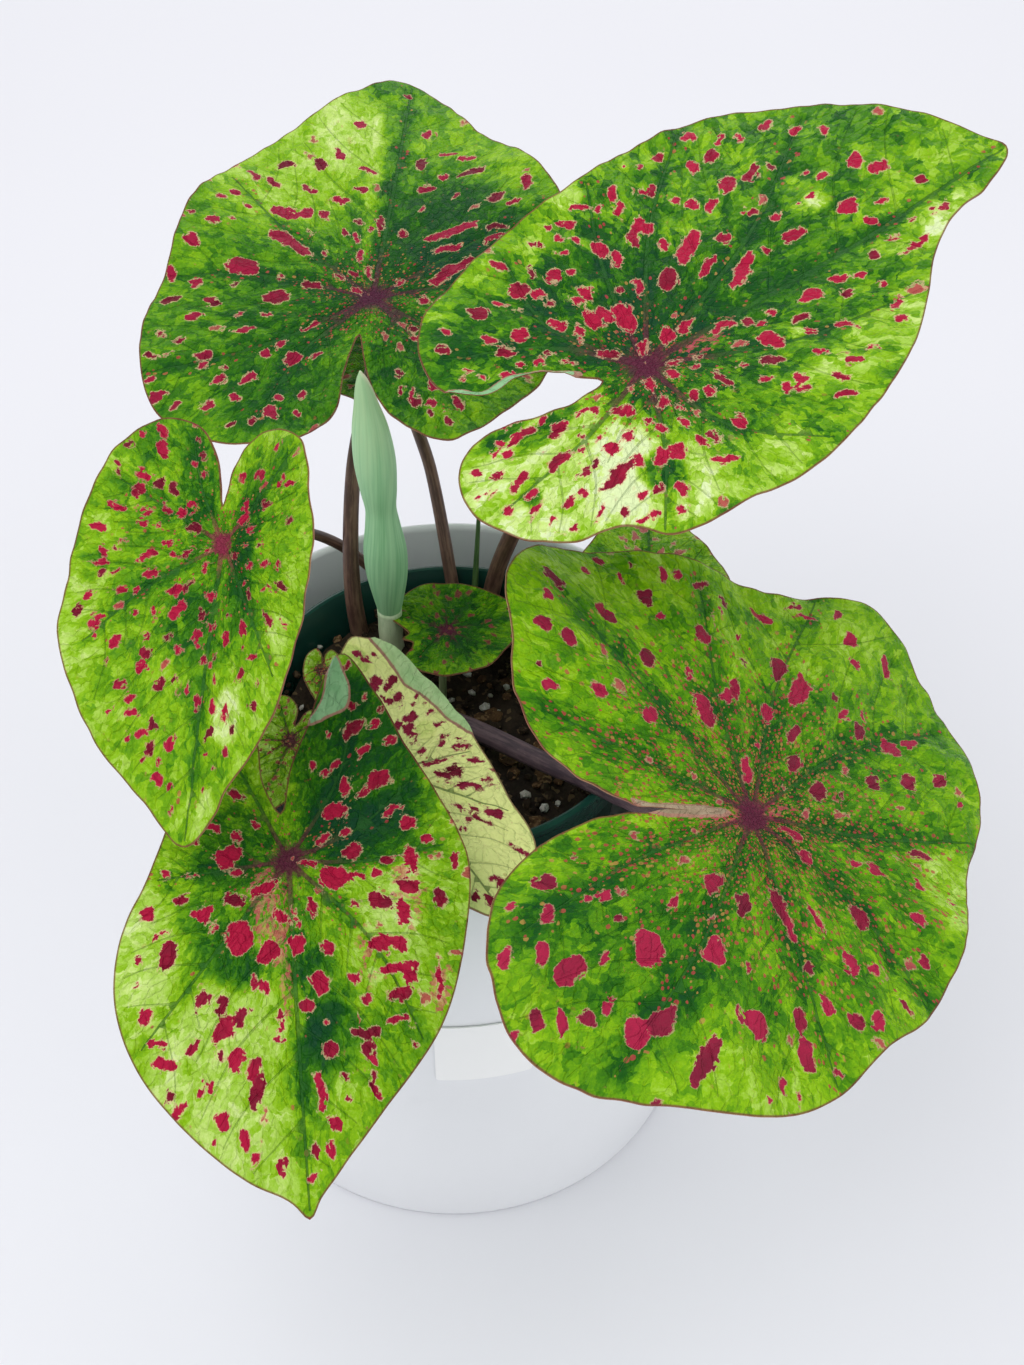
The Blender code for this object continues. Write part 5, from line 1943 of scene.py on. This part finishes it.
FRONT_LEFT_MARKS = (
    (-46, 25, 9, 4, -19), (-47, 32, 4, 3), (-53, 34, 3, 2), (-40, 37, 5, 2), (-37, 27, 6, 3, -20),
    (-71, 24, 4, 1), (-55, 24, 4, 3), (-58, 29, 4, 1), (-26, 33, 9, 5, -35), (-22, 27, 7, 3),
    (-25, 21, 8, 3, 20), (-30, 14, 4, 4), (-33, 17, 4, 3), (-33, 9, 3, 2), (-45, 16, 4, 2),
    (-16, 17, 9, 6, -30), (-14, 36, 7, 3), (-9, 41, 5, 5), (-7, 20, 5, 3), (-7, 12, 4, 3), (-1, 22, 7, 5),
    (3, 33, 5, 3), (2, 7, 6, 3), (8, 15, 10, 8), (8, 21, 6, 3), (-2, 47, 6, 4, -25), (6, 55, 6, 2, -84),
    (5, 41, 10, 4, -80), (14, 40, 8, 5), (22, 37, 9, 4, -60), (18, 30, 9, 6), (18, 22, 4, 2),
    (8, 29, 4, 3), (31, 31, 12, 4, 45), (32, 29, 8, 5), (32, 35, 5, 5), (40, 33, 14, 3, 51),
    (43, 37, 6, 4, -39), (49, 34, 7, 3, 55), (49, 23, 4, 3), (42, 19, 5, 3, 30), (57, 33, 6, 2, 60),
    (60, 22, 10, 4, 60), (65, 23, 5, 4), (19, 49, 7, 4, -68), (45, 47, 13, 2, -46), (65, 38, 3, 2),
    (69, 23, 4, 3), (75, 23, 4, 2), (79, 25, 4, 2), (31, 11, 6, 4), (43, 8, 8, 5), (50, 4, 5, 4),
    (65, 10, 6, 5), (55, 9, 2, 2), (77, 6, 12, 3), (87, 10, 5, 3), (94, 3, 4, 2), (95, 8, 5, 3),
    (103, 2, 6, 2, -40), (81, 15, 2, 2), (74, 14, 2, 2), (18, 7, 7, 3), (20, 1, 9, 2), (30, 1, 8, 5),
    (-2, -21, 8, 6), (-4, -18, 6, 5), (3, -17, 6, 3), (9, -8, 12, 3, -23), (13, -19, 8, 5),
    (-9, -16, 4, 2), (-25, -16, 6, 3), (-13, -25, 6, 3), (-8, -30, 5, 2), (3, -40, 4, 2), (3, -32, 3, 1),
    (12, -36, 5, 3), (17, -29, 7, 5), (16, -47, 5, 4), (24, -43, 5, 1), (22, -25, 5, 2), (26, -17, 11, 9),
    (31, -8, 8, 6), (31, -41, 11, 5, 35), (19, -3, 5, 3), (31, -50, 3, 2), (40, -50, 3, 1),
    (45, -30, 7, 3), (47, -24, 7, 4), (40, -13, 6, 3), (42, -10, 5, 3), (49, -48, 6, 4), (55, -24, 8, 6),
    (52, -18, 7, 4, -20), (51, -6, 4, 2), (55, -6, 3, 2), (60, -6, 2, 2), (58, -45, 8, 3, -52),
    (60, -34, 6, 3), (65, -43, 6, 4, -50), (65, -20, 8, 5), (68, -15, 7, 4), (75, -14, 12, 4),
    (63, -25, 3, 2), (72, -32, 6, 1), (73, -29, 4, 2), (75, -42, 4, 2), (78, -39, 4, 2), (83, -26, 5, 5),
    (90, -19, 6, 4, 40), (96, -16, 4, 2), (98, -8, 6, 3), (89, -29, 2, 2), (-13, -10, 4, 2))

LOWER_RIGHT_MARKS = (
    (-49, 91, 9, 4), (-54, 82, 6, 4), (-59, 70, 6, 5), (-50, 65, 7, 4), (-32, 98, 5, 3), (-26, 103, 3, 2),
    (-31, 79, 8, 6), (-20, 95, 4, 2), (-16, 100, 3, 2), (-14, 86, 6, 5), (-6, 95, 7, 3), (0, 94, 4, 3),
    (-10, 79, 3, 3), (8, 91, 6, 3, -60), (16, 85, 5, 4), (2, 70, 7, 5), (12, 80, 4, 2), (8, 75, 5, 1),
    (18, 71, 3, 2), (33, 83, 9, 4, 85), (49, 89, 7, 2, -60), (52, 84, 6, 2, -75), (64, 84, 4, 3),
    (66, 73, 6, 4), (64, 63, 4, 3), (80, 64, 10, 5, 40), (31, 59, 10, 6), (16, 60, 3, 2), (-21, 61, 8, 5),
    (-8, 54, 5, 2), (8, 48, 9, 5), (4, 45, 5, 3), (19, 40, 8, 5), (35, 49, 17, 6), (-6, 39, 12, 5),
    (-28, 37, 6, 5), (-44, 46, 6, 5), (-61, 48, 5, 4), (-61, 57, 3, 2), (49, 47, 4, 2), (52, 41, 6, 3),
    (56, 35, 7, 6), (60, 41, 2, 2), (69, 30, 8, 7), (78, 33, 8, 4), (54, 14, 7, 4, 50), (70, 15, 7, 6),
    (85, 17, 7, 5, 50), (88, 7, 3, 2), (26, 31, 9, 4), (23, 20, 9, 5), (3, 17, 10, 4), (10, 26, 3, 2),
    (29, 9, 8, 5, 60), (38, 8, 3, 2), (11, -6, 9, 3), (14, -16, 7, 4), (33, -18, 6, 4), (40, -20, 6, 4),
    (64, -13, 9, 4), (56, -25, 4, 3), (68, -32, 3, 2), (27, -37, 10, 6), (50, -39, 7, 4), (48, -52, 5, 3),
    (-23, -25, 10, 6), (-40, -32, 6, 2), (-15, -32, 8, 5), (-2, -32, 10, 5), (0, -41, 9, 3),
    (10, -38, 11, 3), (-80, -24, 8, 6), (-67, -14, 3, 2), (-63, -29, 5, 3), (-68, -30, 3, 2),
    (-60, -37, 3, 2), (-94, -32, 4, 2), (-83, -35, 7, 5), (-89, -48, 8, 5, 40), (-101, -50, 8, 4, 40),
    (-80, -53, 13, 7), (-68, -49, 6, 3), (-52, -46, 11, 10), (-30, -48, 10, 7), (-21, -54, 4, 2),
    (2, -55, 4, 3), (17, -54, 9, 5), (26, -56, 4, 3), (-103, -71, 5, 3), (-94, -67, 7, 4, 40),
    (-85, -68, 7, 4, 40), (-77, -67, 6, 5), (-69, -63, 5, 4), (-62, -71, 10, 8), (-53, -69, 13, 5, -19),
    (-45, -83, 20, 5, -11), (-24, -73, 9, 8), (-29, -69, 6, 2), (-7, -71, 9, 6), (-8, -82, 13, 4),
    (4, -67, 7, 3), (12, -73, 7, 5), (19, -74, 6, 4), (33, -68, 6, 2), (-20, -92, 5, 2), (-28, -96, 3, 2),
    (-15, -96, 4, 1), (-63, -93, 3, 2), (1, -88, 2, 2))

PALE_MARKS = (
    (-33, 19, 7, 4), (-31, 25, 7, 4), (-44, 27, 3, 2), (-47, 22, 4, 3), (-43, 23, 2, 2), (-36, 32, 3, 1),
    (-26, 18, 4, 2), (-24, 19, 4, 2), (-23, 22, 5, 3), (-20, 29, 3, 2), (-17, 25, 2, 2), (-13, 21, 5, 4),
    (-9, 17, 6, 4), (-13, 16, 4, 3), (-11, 29, 4, 2), (-6, 28, 4, 1), (-5, 17, 4, 1), (0, 16, 4, 3),
    (7, 16, 6, 2), (8, 19, 5, 2), (13, 15, 7, 3), (2, 23, 4, 2), (1, 26, 3, 2), (7, 26, 3, 2),
    (5, 30, 4, 1), (8, 29, 4, 2), (10, 30, 3, 1), (15, 29, 6, 2), (15, 21, 5, 4), (21, 19, 6, 3),
    (24, 22, 6, 3), (24, 27, 4, 2), (27, 27, 4, 1), (17, 15, 2, 2), (22, 9, 2, 2), (26, 7, 3, 2),
    (28, 12, 5, 1), (31, 16, 5, 2), (33, 11, 3, 3), (35, 7, 2, 2), (37, 16, 10, 2), (36, 21, 9, 3),
    (53, 19, 8, 2), (60, 5, 5, 3), (56, 4, 3, 2), (59, -5, 5, 2), (64, -2, 7, 3))

BACK_LEFT_RIBS = (
    (144, -8, -1), (70, 62, 4), (10, 82, -4), (-45, 80, 5), (-68, 40, -6), (50, -66, 0), (20, -66, -3),
    (-30, -40, 0), (-60, -34, 4))
UPPER_RIGHT_RIBS = (
    (177, -6, -5), (125, 48, -7), (88, 74, 5), (42, 74, 4), (-4, 66, 11), (-48, 46, -6), (98, -38, -9),
    (22, -66, -11), (-44, -54, 3), (-74, -12, 3))
HANGING_LEFT_RIBS = (
    (100, 0, 0), (36, -42, -3), (-20, -38, 0), (-36, -16, 2), (45, 30, 0), (-32, 28, 0))
FRONT_LEFT_RIBS = (
    (112, 0, 0), (68, 42, 6), (0, 52, -3), (-25, 44, -4), (-62, 26, -6), (60, -50, 0), (5, -50, 0),
    (-50, -22, 0))
LOWER_RIGHT_RIBS = (
    (93, -6, -4), (95, 40, 6), (60, 92, 5), (8, 92, 3), (-48, 88, 0), (-64, 40, 0), (45, -68, 5),
    (0, -92, 0), (-70, -82, 4), (-92, -40, -4))

BACK_LEFT_PATCHES = (
    (85, 38, 50, 34, 0.45), (105, 15, 30, 12, 0.25), (70, 4, 50, 3, 0.4), (40, -30, 30, 24, -0.3),
    (15, -30, 16, 30, -0.25), (-10, 30, 20, 28, -0.15), (-50, 30, 22, 26, -0.2), (-35, -15, 25, 18, -0.2),
    (100, -25, 30, 16, 0.1), (80, -50, 20, 14, 0.2))
UPPER_RIGHT_PATCHES = (
    (-52, -14, 34, 26, 0.72), (-32, -38, 20, 22, 0.65), (-42, 3, 14, 4, -0.9), (-54, 11, 10, 3, -0.7),
    (-64, -15, 3, 3.5, -0.9), (-28, -36, 7, 8, -0.9), (30, 8, 45, 24, -0.15), (-12, 36, 52, 30, -0.2),
    (-15, 62, 26, 8, 0.25), (75, -45, 40, 12, 0.3), (30, -52, 25, 14, 0.25), (-5, -55, 20, 12, 0.3),
    (150, -5, 30, 20, 0.25), (120, -18, 25, 8, 0.25), (97, 14, 5, 4, 0.7), (122, -19, 6, 3, 0.6),
    (31, 70, 6, 5, 0.5), (21, 50, 3, 4, 0.5), (46, -24, 4, 2, 0.7), (95, 26, 5, 3, 0.4))
HANGING_LEFT_PATCHES = (
    (-36, -24, 10, 14, -0.35), (-20, -10, 14, 8, -0.3), (-10, 10, 22, 6, -0.35), (10, -43, 6, 5, -0.4),
    (28, -8, 14, 7, -0.35), (15, 10, 20, 6, -0.3), (30, -44, 30, 8, 0.25), (58, 12, 10, 6, 0.6),
    (35, 28, 12, 6, 0.3), (90, 4, 10, 8, 0.4))
FRONT_LEFT_PATCHES = (
    (-34, 26, 36, 24, -0.62), (-8, 26, 12, 20, -0.3), (70, -25, 30, 22, 0.3), (30, -50, 30, 12, 0.3),
    (12, 32, 16, 14, 0.3), (35, 30, 14, 14, 0.25), (-5, -20, 16, 14, -0.4), (20, -28, 10, 10, -0.3),
    (35, -18, 8, 8, -0.5), (30, 5, 12, 4, -0.3), (45, 8, 14, 8, -0.35), (60, 12, 12, 9, -0.5),
    (70, 5, 16, 6, -0.4), (75, 32, 25, 12, -0.2), (50, 1, 10, 2, 0.5))
LOWER_RIGHT_PATCHES = (
    (75, -25, 16, 22, 0.35), (0, 95, 60, 14, 0.15), (-45, 70, 30, 34, 0.15), (20, 62, 26, 16, 0.2),
    (55, 70, 25, 20, 0.2), (-60, -45, 40, 25, -0.15), (-20, -90, 50, 12, 0.2))
PALE_PATCHES = (
    (-47, 20, 9, 5, -0.6), (-24, 21, 4, 3, -0.4), (-6, 22, 4, 4, -0.5), (20, 14, 8, 3, -0.2))

FRONT_LEFT_FLUSHES = (
    (15, -8, 14, 6, 1.0), (28, -4, 12, 3, 0.9), (40, -3, 12, 2.5, 0.8), (15, 39, 12, 5, 0.9),
    (35, 24, 10, 3, 0.7), (48, 47, 8, 4, 0.9))
UPPER_RIGHT_FLUSHES = ((20, -6, 10, 4, 0.7),)
LOWER_RIGHT_FLUSHES = (
    (6, 2, 10, 4, 0.8), (-8, -2, 12, 4, 0.7))

FRONT_LEFT_CURL = (
    (-75, 20), (-69, 22), (-61, 24), (-54, 22), (-52, 17), (-50, 9), (-54, 12), (-59, 15), (-67, 17))
LOWER_RIGHT_CURL = (
    (-9, 0.5), (-15, 2.5), (-24, 3.6), (-33, 3.6), (-43, 5), (-38, 1.6), (-24, 0.2), (-14, -0.5))
UPPER_RIGHT_CURL = (
    (-18, 12), (-26, 19), (-37, 26.5), (-47, 27.5), (-55, 35), (-58, 36), (-47, 23.5), (-36, 22.5),
    (-24, 14.5))
PALE_CURL = (
    (-54, 31), (-44, 30), (-36, 30), (-27, 29), (-15, 31.5), (0, 33), (8, 36), (-10, 40), (-30, 40),
    (-50, 36))

BROWN = StalkFinish("brown", "petiole_brown", (0.085, 0.042, 0.032), (0.21, 0.115, 0.080),
                    (0.20, 0.20, 0.11), (0.22, 0.13, 0.10), 0.45, Shine.SATIN)
PURPLE = StalkFinish("purple", "petiole_purple", (0.070, 0.045, 0.060), (0.16, 0.10, 0.115),
                     (0.24, 0.20, 0.17), (0.13, 0.08, 0.07), 0.3, Shine.BLOOM)
FRESH = StalkFinish("fresh", "petiole_green", (0.20, 0.34, 0.12), (0.34, 0.48, 0.22),
                    (0.28, 0.12, 0.10), (0.30, 0.36, 0.18), 0.4, Shine.SATIN)
GLASSY = StalkFinish("glassy", "spathe_green", (0.50, 0.66, 0.38), (0.72, 0.84, 0.56),
                     (0.72, 0.70, 0.46), (0.62, 0.68, 0.42), 0.25, Shine.WAXY)
MOSS = StalkFinish("moss", "petiole_green", (0.035, 0.090, 0.020), (0.09, 0.18, 0.05),
                   (0.12, 0.10, 0.06), (0.12, 0.18, 0.07))

BLADES = (
    Blade("blade_back_left", (-29, 113, 325), 89, 10, 0, BACK_LEFT,
          LeafFinish(seed=1.0, spot=(0.33, 0.007, 0.042), dark_share=0.45, dust=0.45,
                     centre_reach=11.0, centre=(0.085, 0.012, 0.040)), "leaf_green", wave=3, waves=7,
          ribs=BACK_LEFT_RIBS, marks=BACK_LEFT_MARKS, patches=BACK_LEFT_PATCHES, tone=0.22, rise=0.2),
    Blade("blade_upper_right", (69, 2, 375), 41, 10, 8, UPPER_RIGHT,
          LeafFinish(seed=2.0, dust=0.35, mosaic=0.75, centre_reach=11.0), "leaf_green", droop=6,
          lobe_droop=3, wave=2, waves=6, ribs=UPPER_RIGHT_RIBS, marks=UPPER_RIGHT_MARKS,
          patches=UPPER_RIGHT_PATCHES, flushes=UPPER_RIGHT_FLUSHES, curls=(UPPER_RIGHT_CURL,), tone=0.22,
          rise=0.25),
    Blade("blade_hanging_left", (-70, -41, 335), -98, -33, 20, HANGING_LEFT,
          LeafFinish(seed=3.0, centre=(0.25, 0.02, 0.06), centre_reach=4.5, dust=0.2,
                     halo_width=0.15, dark_share=0.4, halo=(0.60, 0.28, 0.20)), "leaf_lime", fold=0.28,
          droop=5, side_droop=0, waves=6, ribs=HANGING_LEFT_RIBS, marks=HANGING_LEFT_MARKS,
          patches=HANGING_LEFT_PATCHES, tone=0.5, rise=0.2),
    Blade("blade_front_left", (-50, -107, 252), -84, -18, 0, FRONT_LEFT,
          LeafFinish(seed=4.0, halo_width=0.22, dust=0.15), "leaf_lime", droop=16, side_droop=4,
          waves=6, ribs=FRONT_LEFT_RIBS, marks=FRONT_LEFT_MARKS, patches=FRONT_LEFT_PATCHES,
          flushes=FRONT_LEFT_FLUSHES, curls=(FRONT_LEFT_CURL,), tone=0.55, rise=0.2),
    Blade("blade_lower_right", (102, -115, 285), 17, -20, 12, LOWER_RIGHT,
          LeafFinish(seed=5.0, dust=0.8, dust_reach=95.0, shade=0.30, shade_width=9.0,
                     halo=(0.58, 0.36, 0.22), halo_width=0.15, spot=(0.38, 0.014, 0.055),
                     spot_dark=(0.15, 0.010, 0.028), dark_share=0.35,
                     bloom=((0.28, 0.19, 0.12), (0.42, 0.33, 0.22))),
          "leaf_green", fold=0.05, lobe_droop=3, side_droop=5, wave=3, waves=9, ribs=LOWER_RIGHT_RIBS,
          marks=LOWER_RIGHT_MARKS, patches=LOWER_RIGHT_PATCHES, flushes=LOWER_RIGHT_FLUSHES,
          curls=(LOWER_RIGHT_CURL,), quilt=1.5, tone=0.33, rise=0.2),
    Blade("blade_pale", (-20, -58, 242), -51, -8, -4, PALE_FOLDED,
          LeafFinish(seed=6.0, mosaic=0.25, haze=0.3, dust=0.05, shade=0.05, sunlit=0.8,
                     spot=(0.30, 0.012, 0.05), bloom=((0.40, 0.62, 0.28), (0.56, 0.74, 0.38))),
          "leaf_pale", wave=1.5, marks=PALE_MARKS, patches=PALE_PATCHES, curls=(PALE_CURL,), tone=1.5,
          rise=0.1),
    Blade("blade_low_centre", (-1, 34, 222), 17, 0, 0, heart(36, 54, 20, 0.92),
          LeafFinish(seed=7.0, fleck_step=6.5, fleck_share=0.28, fleck_size=0.2, dust=0.03,
                     centre_reach=4.0, halo=(0.26, 0.20, 0.05), spot=(0.24, 0.03, 0.05)),
          "leaf_green", fold=0.08, wave=0.8, step=1.5, tone=0.26, rise=0.25),
    Blade("blade_behind", (76, 3, 262), 87, -4, 0, heart(78, 64, 38),
          LeafFinish(seed=8.0, fleck_share=0.4, fleck_size=0.24, spot=(0.42, 0.05, 0.09)),
          "leaf_green", wave=1.5, tone=0.5, rise=0.2),
    Blade("blade_small_left", (-57, -34, 232), -106, -5, 0, heart(38, 42, 19),
          LeafFinish(seed=9.0, fleck_step=4.0, fleck_share=0.5, fleck_size=0.24, dust=0.0,
                     centre_reach=3.5, shade_width=2.5, halo=(0.55, 0.48, 0.14), spot=(0.28, 0.01, 0.04)),
          "leaf_lime", wave=0.8, step=1.5, tone=0.85, rise=0.1),
    Blade("blade_tiny", (-50, 18, 216), -91, 0, 0, heart(19, 15, 10),
          LeafFinish(seed=10.0, fleck_step=3.0, fleck_share=0.5, fleck_size=0.24, dust=0.0,
                     centre_reach=3.2, shade_width=1.5, halo=(0.50, 0.46, 0.12)),
          "leaf_lime", wave=0.3, step=1.0, tone=0.85, rise=0.1),
    Blade("blade_hidden_back", (-20, 140, 282), 88, 0, 0, heart(100, 76, 38),
          LeafFinish(seed=11.0, fleck_share=0.35, fleck_size=0.24), "leaf_green",
          tone=0.25, rise=0.3),
)

STALKS = (
    Stalk("stalk_back_left", (-36, 50), ((-39, 50, 228), (-37, 68, 275)), 4.0, 2.6, BROWN),
    Stalk("stalk_upper_right", (13, 61), ((18, 64, 222), (27, 58, 257), (46, 40, 322)), 3.6, 2.6,
          BROWN, knee=9),
    Stalk("stalk_hanging_left", (-8, 64), ((-20, 63, 211), (-38, 66, 232), (-62, 34, 276)), 2.4, 1.8,
          BROWN),
    Stalk("stalk_front_left", (-28, 26), ((-37, 13, 222), (-41, -18, 240), (-46, -72, 238)), 3.4, 2.4,
          PURPLE, knee=5.5),
    Stalk("stalk_lower_right", (-10, 12), ((43, -33, 214), (70, -70, 237), (86, -97, 258)), 4.2, 3.0,
          PURPLE),
    Stalk("stalk_pale", (-24, 14), ((-25, -10, 214),), 2.6, 1.8, FRESH),
    Stalk("stalk_low_centre", (-3, 24), ((-3, 28, 203),), 1.6, 1.2, FRESH),
    Stalk("stalk_behind", (23, 58), ((33, 55, 218), (57, 28, 233)), 2.6, 1.9, BROWN, knee=9),
    Stalk("stalk_small_left", (-38, 6), ((-46, -10, 212),), 1.8, 1.3, FRESH),
    Stalk("stalk_tiny", (-46, 24), ((-48, 22, 203),), 1.4, 1.0, FRESH),
    Stalk("stalk_hidden_back", (3, 64), ((0, 67, 219), (-8, 95, 252)), 3.2, 2.2, BROWN),
)

FLOWER_STALK = Stalk("flower_stalk", (-24, 42), ((-24, 42, 208), (-24, 42, 226)), 5.0, 5.0, GLASSY,
                     node="peduncle")
SHEATH = Stalk("sheath", (8, 55.5), ((12, 80, 252),), 2.4, 0.7, MOSS, node="young_sheath")


def dress_tuber(tuber: Piece) -> None:
    """Give the tuber, whose frame shape stays, its brown skin.

    Args:
        tuber: The frame's node.
    """
    finish = GroundFinish("tuber", (0.05, 0.025, 0.012), (0.14, 0.08, 0.04), (0.22, 0.14, 0.08), 80.0)
    tuber.data.materials.clear()
    coat(tuber, finish.build())


def main() -> None:
    """Build the studio and the plant round the frame."""
    logging.basicConfig(level=logging.INFO, format="%(message)s")
    # Without a seed, noise vectors start from the clock and differ each run.
    noise.seed_set(NOISE_SEED)
    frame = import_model()
    Studio().build()
    for blade in BLADES:
        blade.build()
    blades = {blade.name.removeprefix("blade_"): blade for blade in BLADES}
    for stalk in STALKS:
        stalk.build(blades[stalk.name.removeprefix("stalk_")])
    FLOWER_STALK.build()
    SHEATH.build()
    Spathe().build()
    CoverPot().build()
    pot = NurseryPot()
    pot.build()
    Soil(pot).build()
    Label().build()
    dress_tuber(frame["nodes"]["tuber"])
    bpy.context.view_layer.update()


if __name__ == "__main__":
    main()
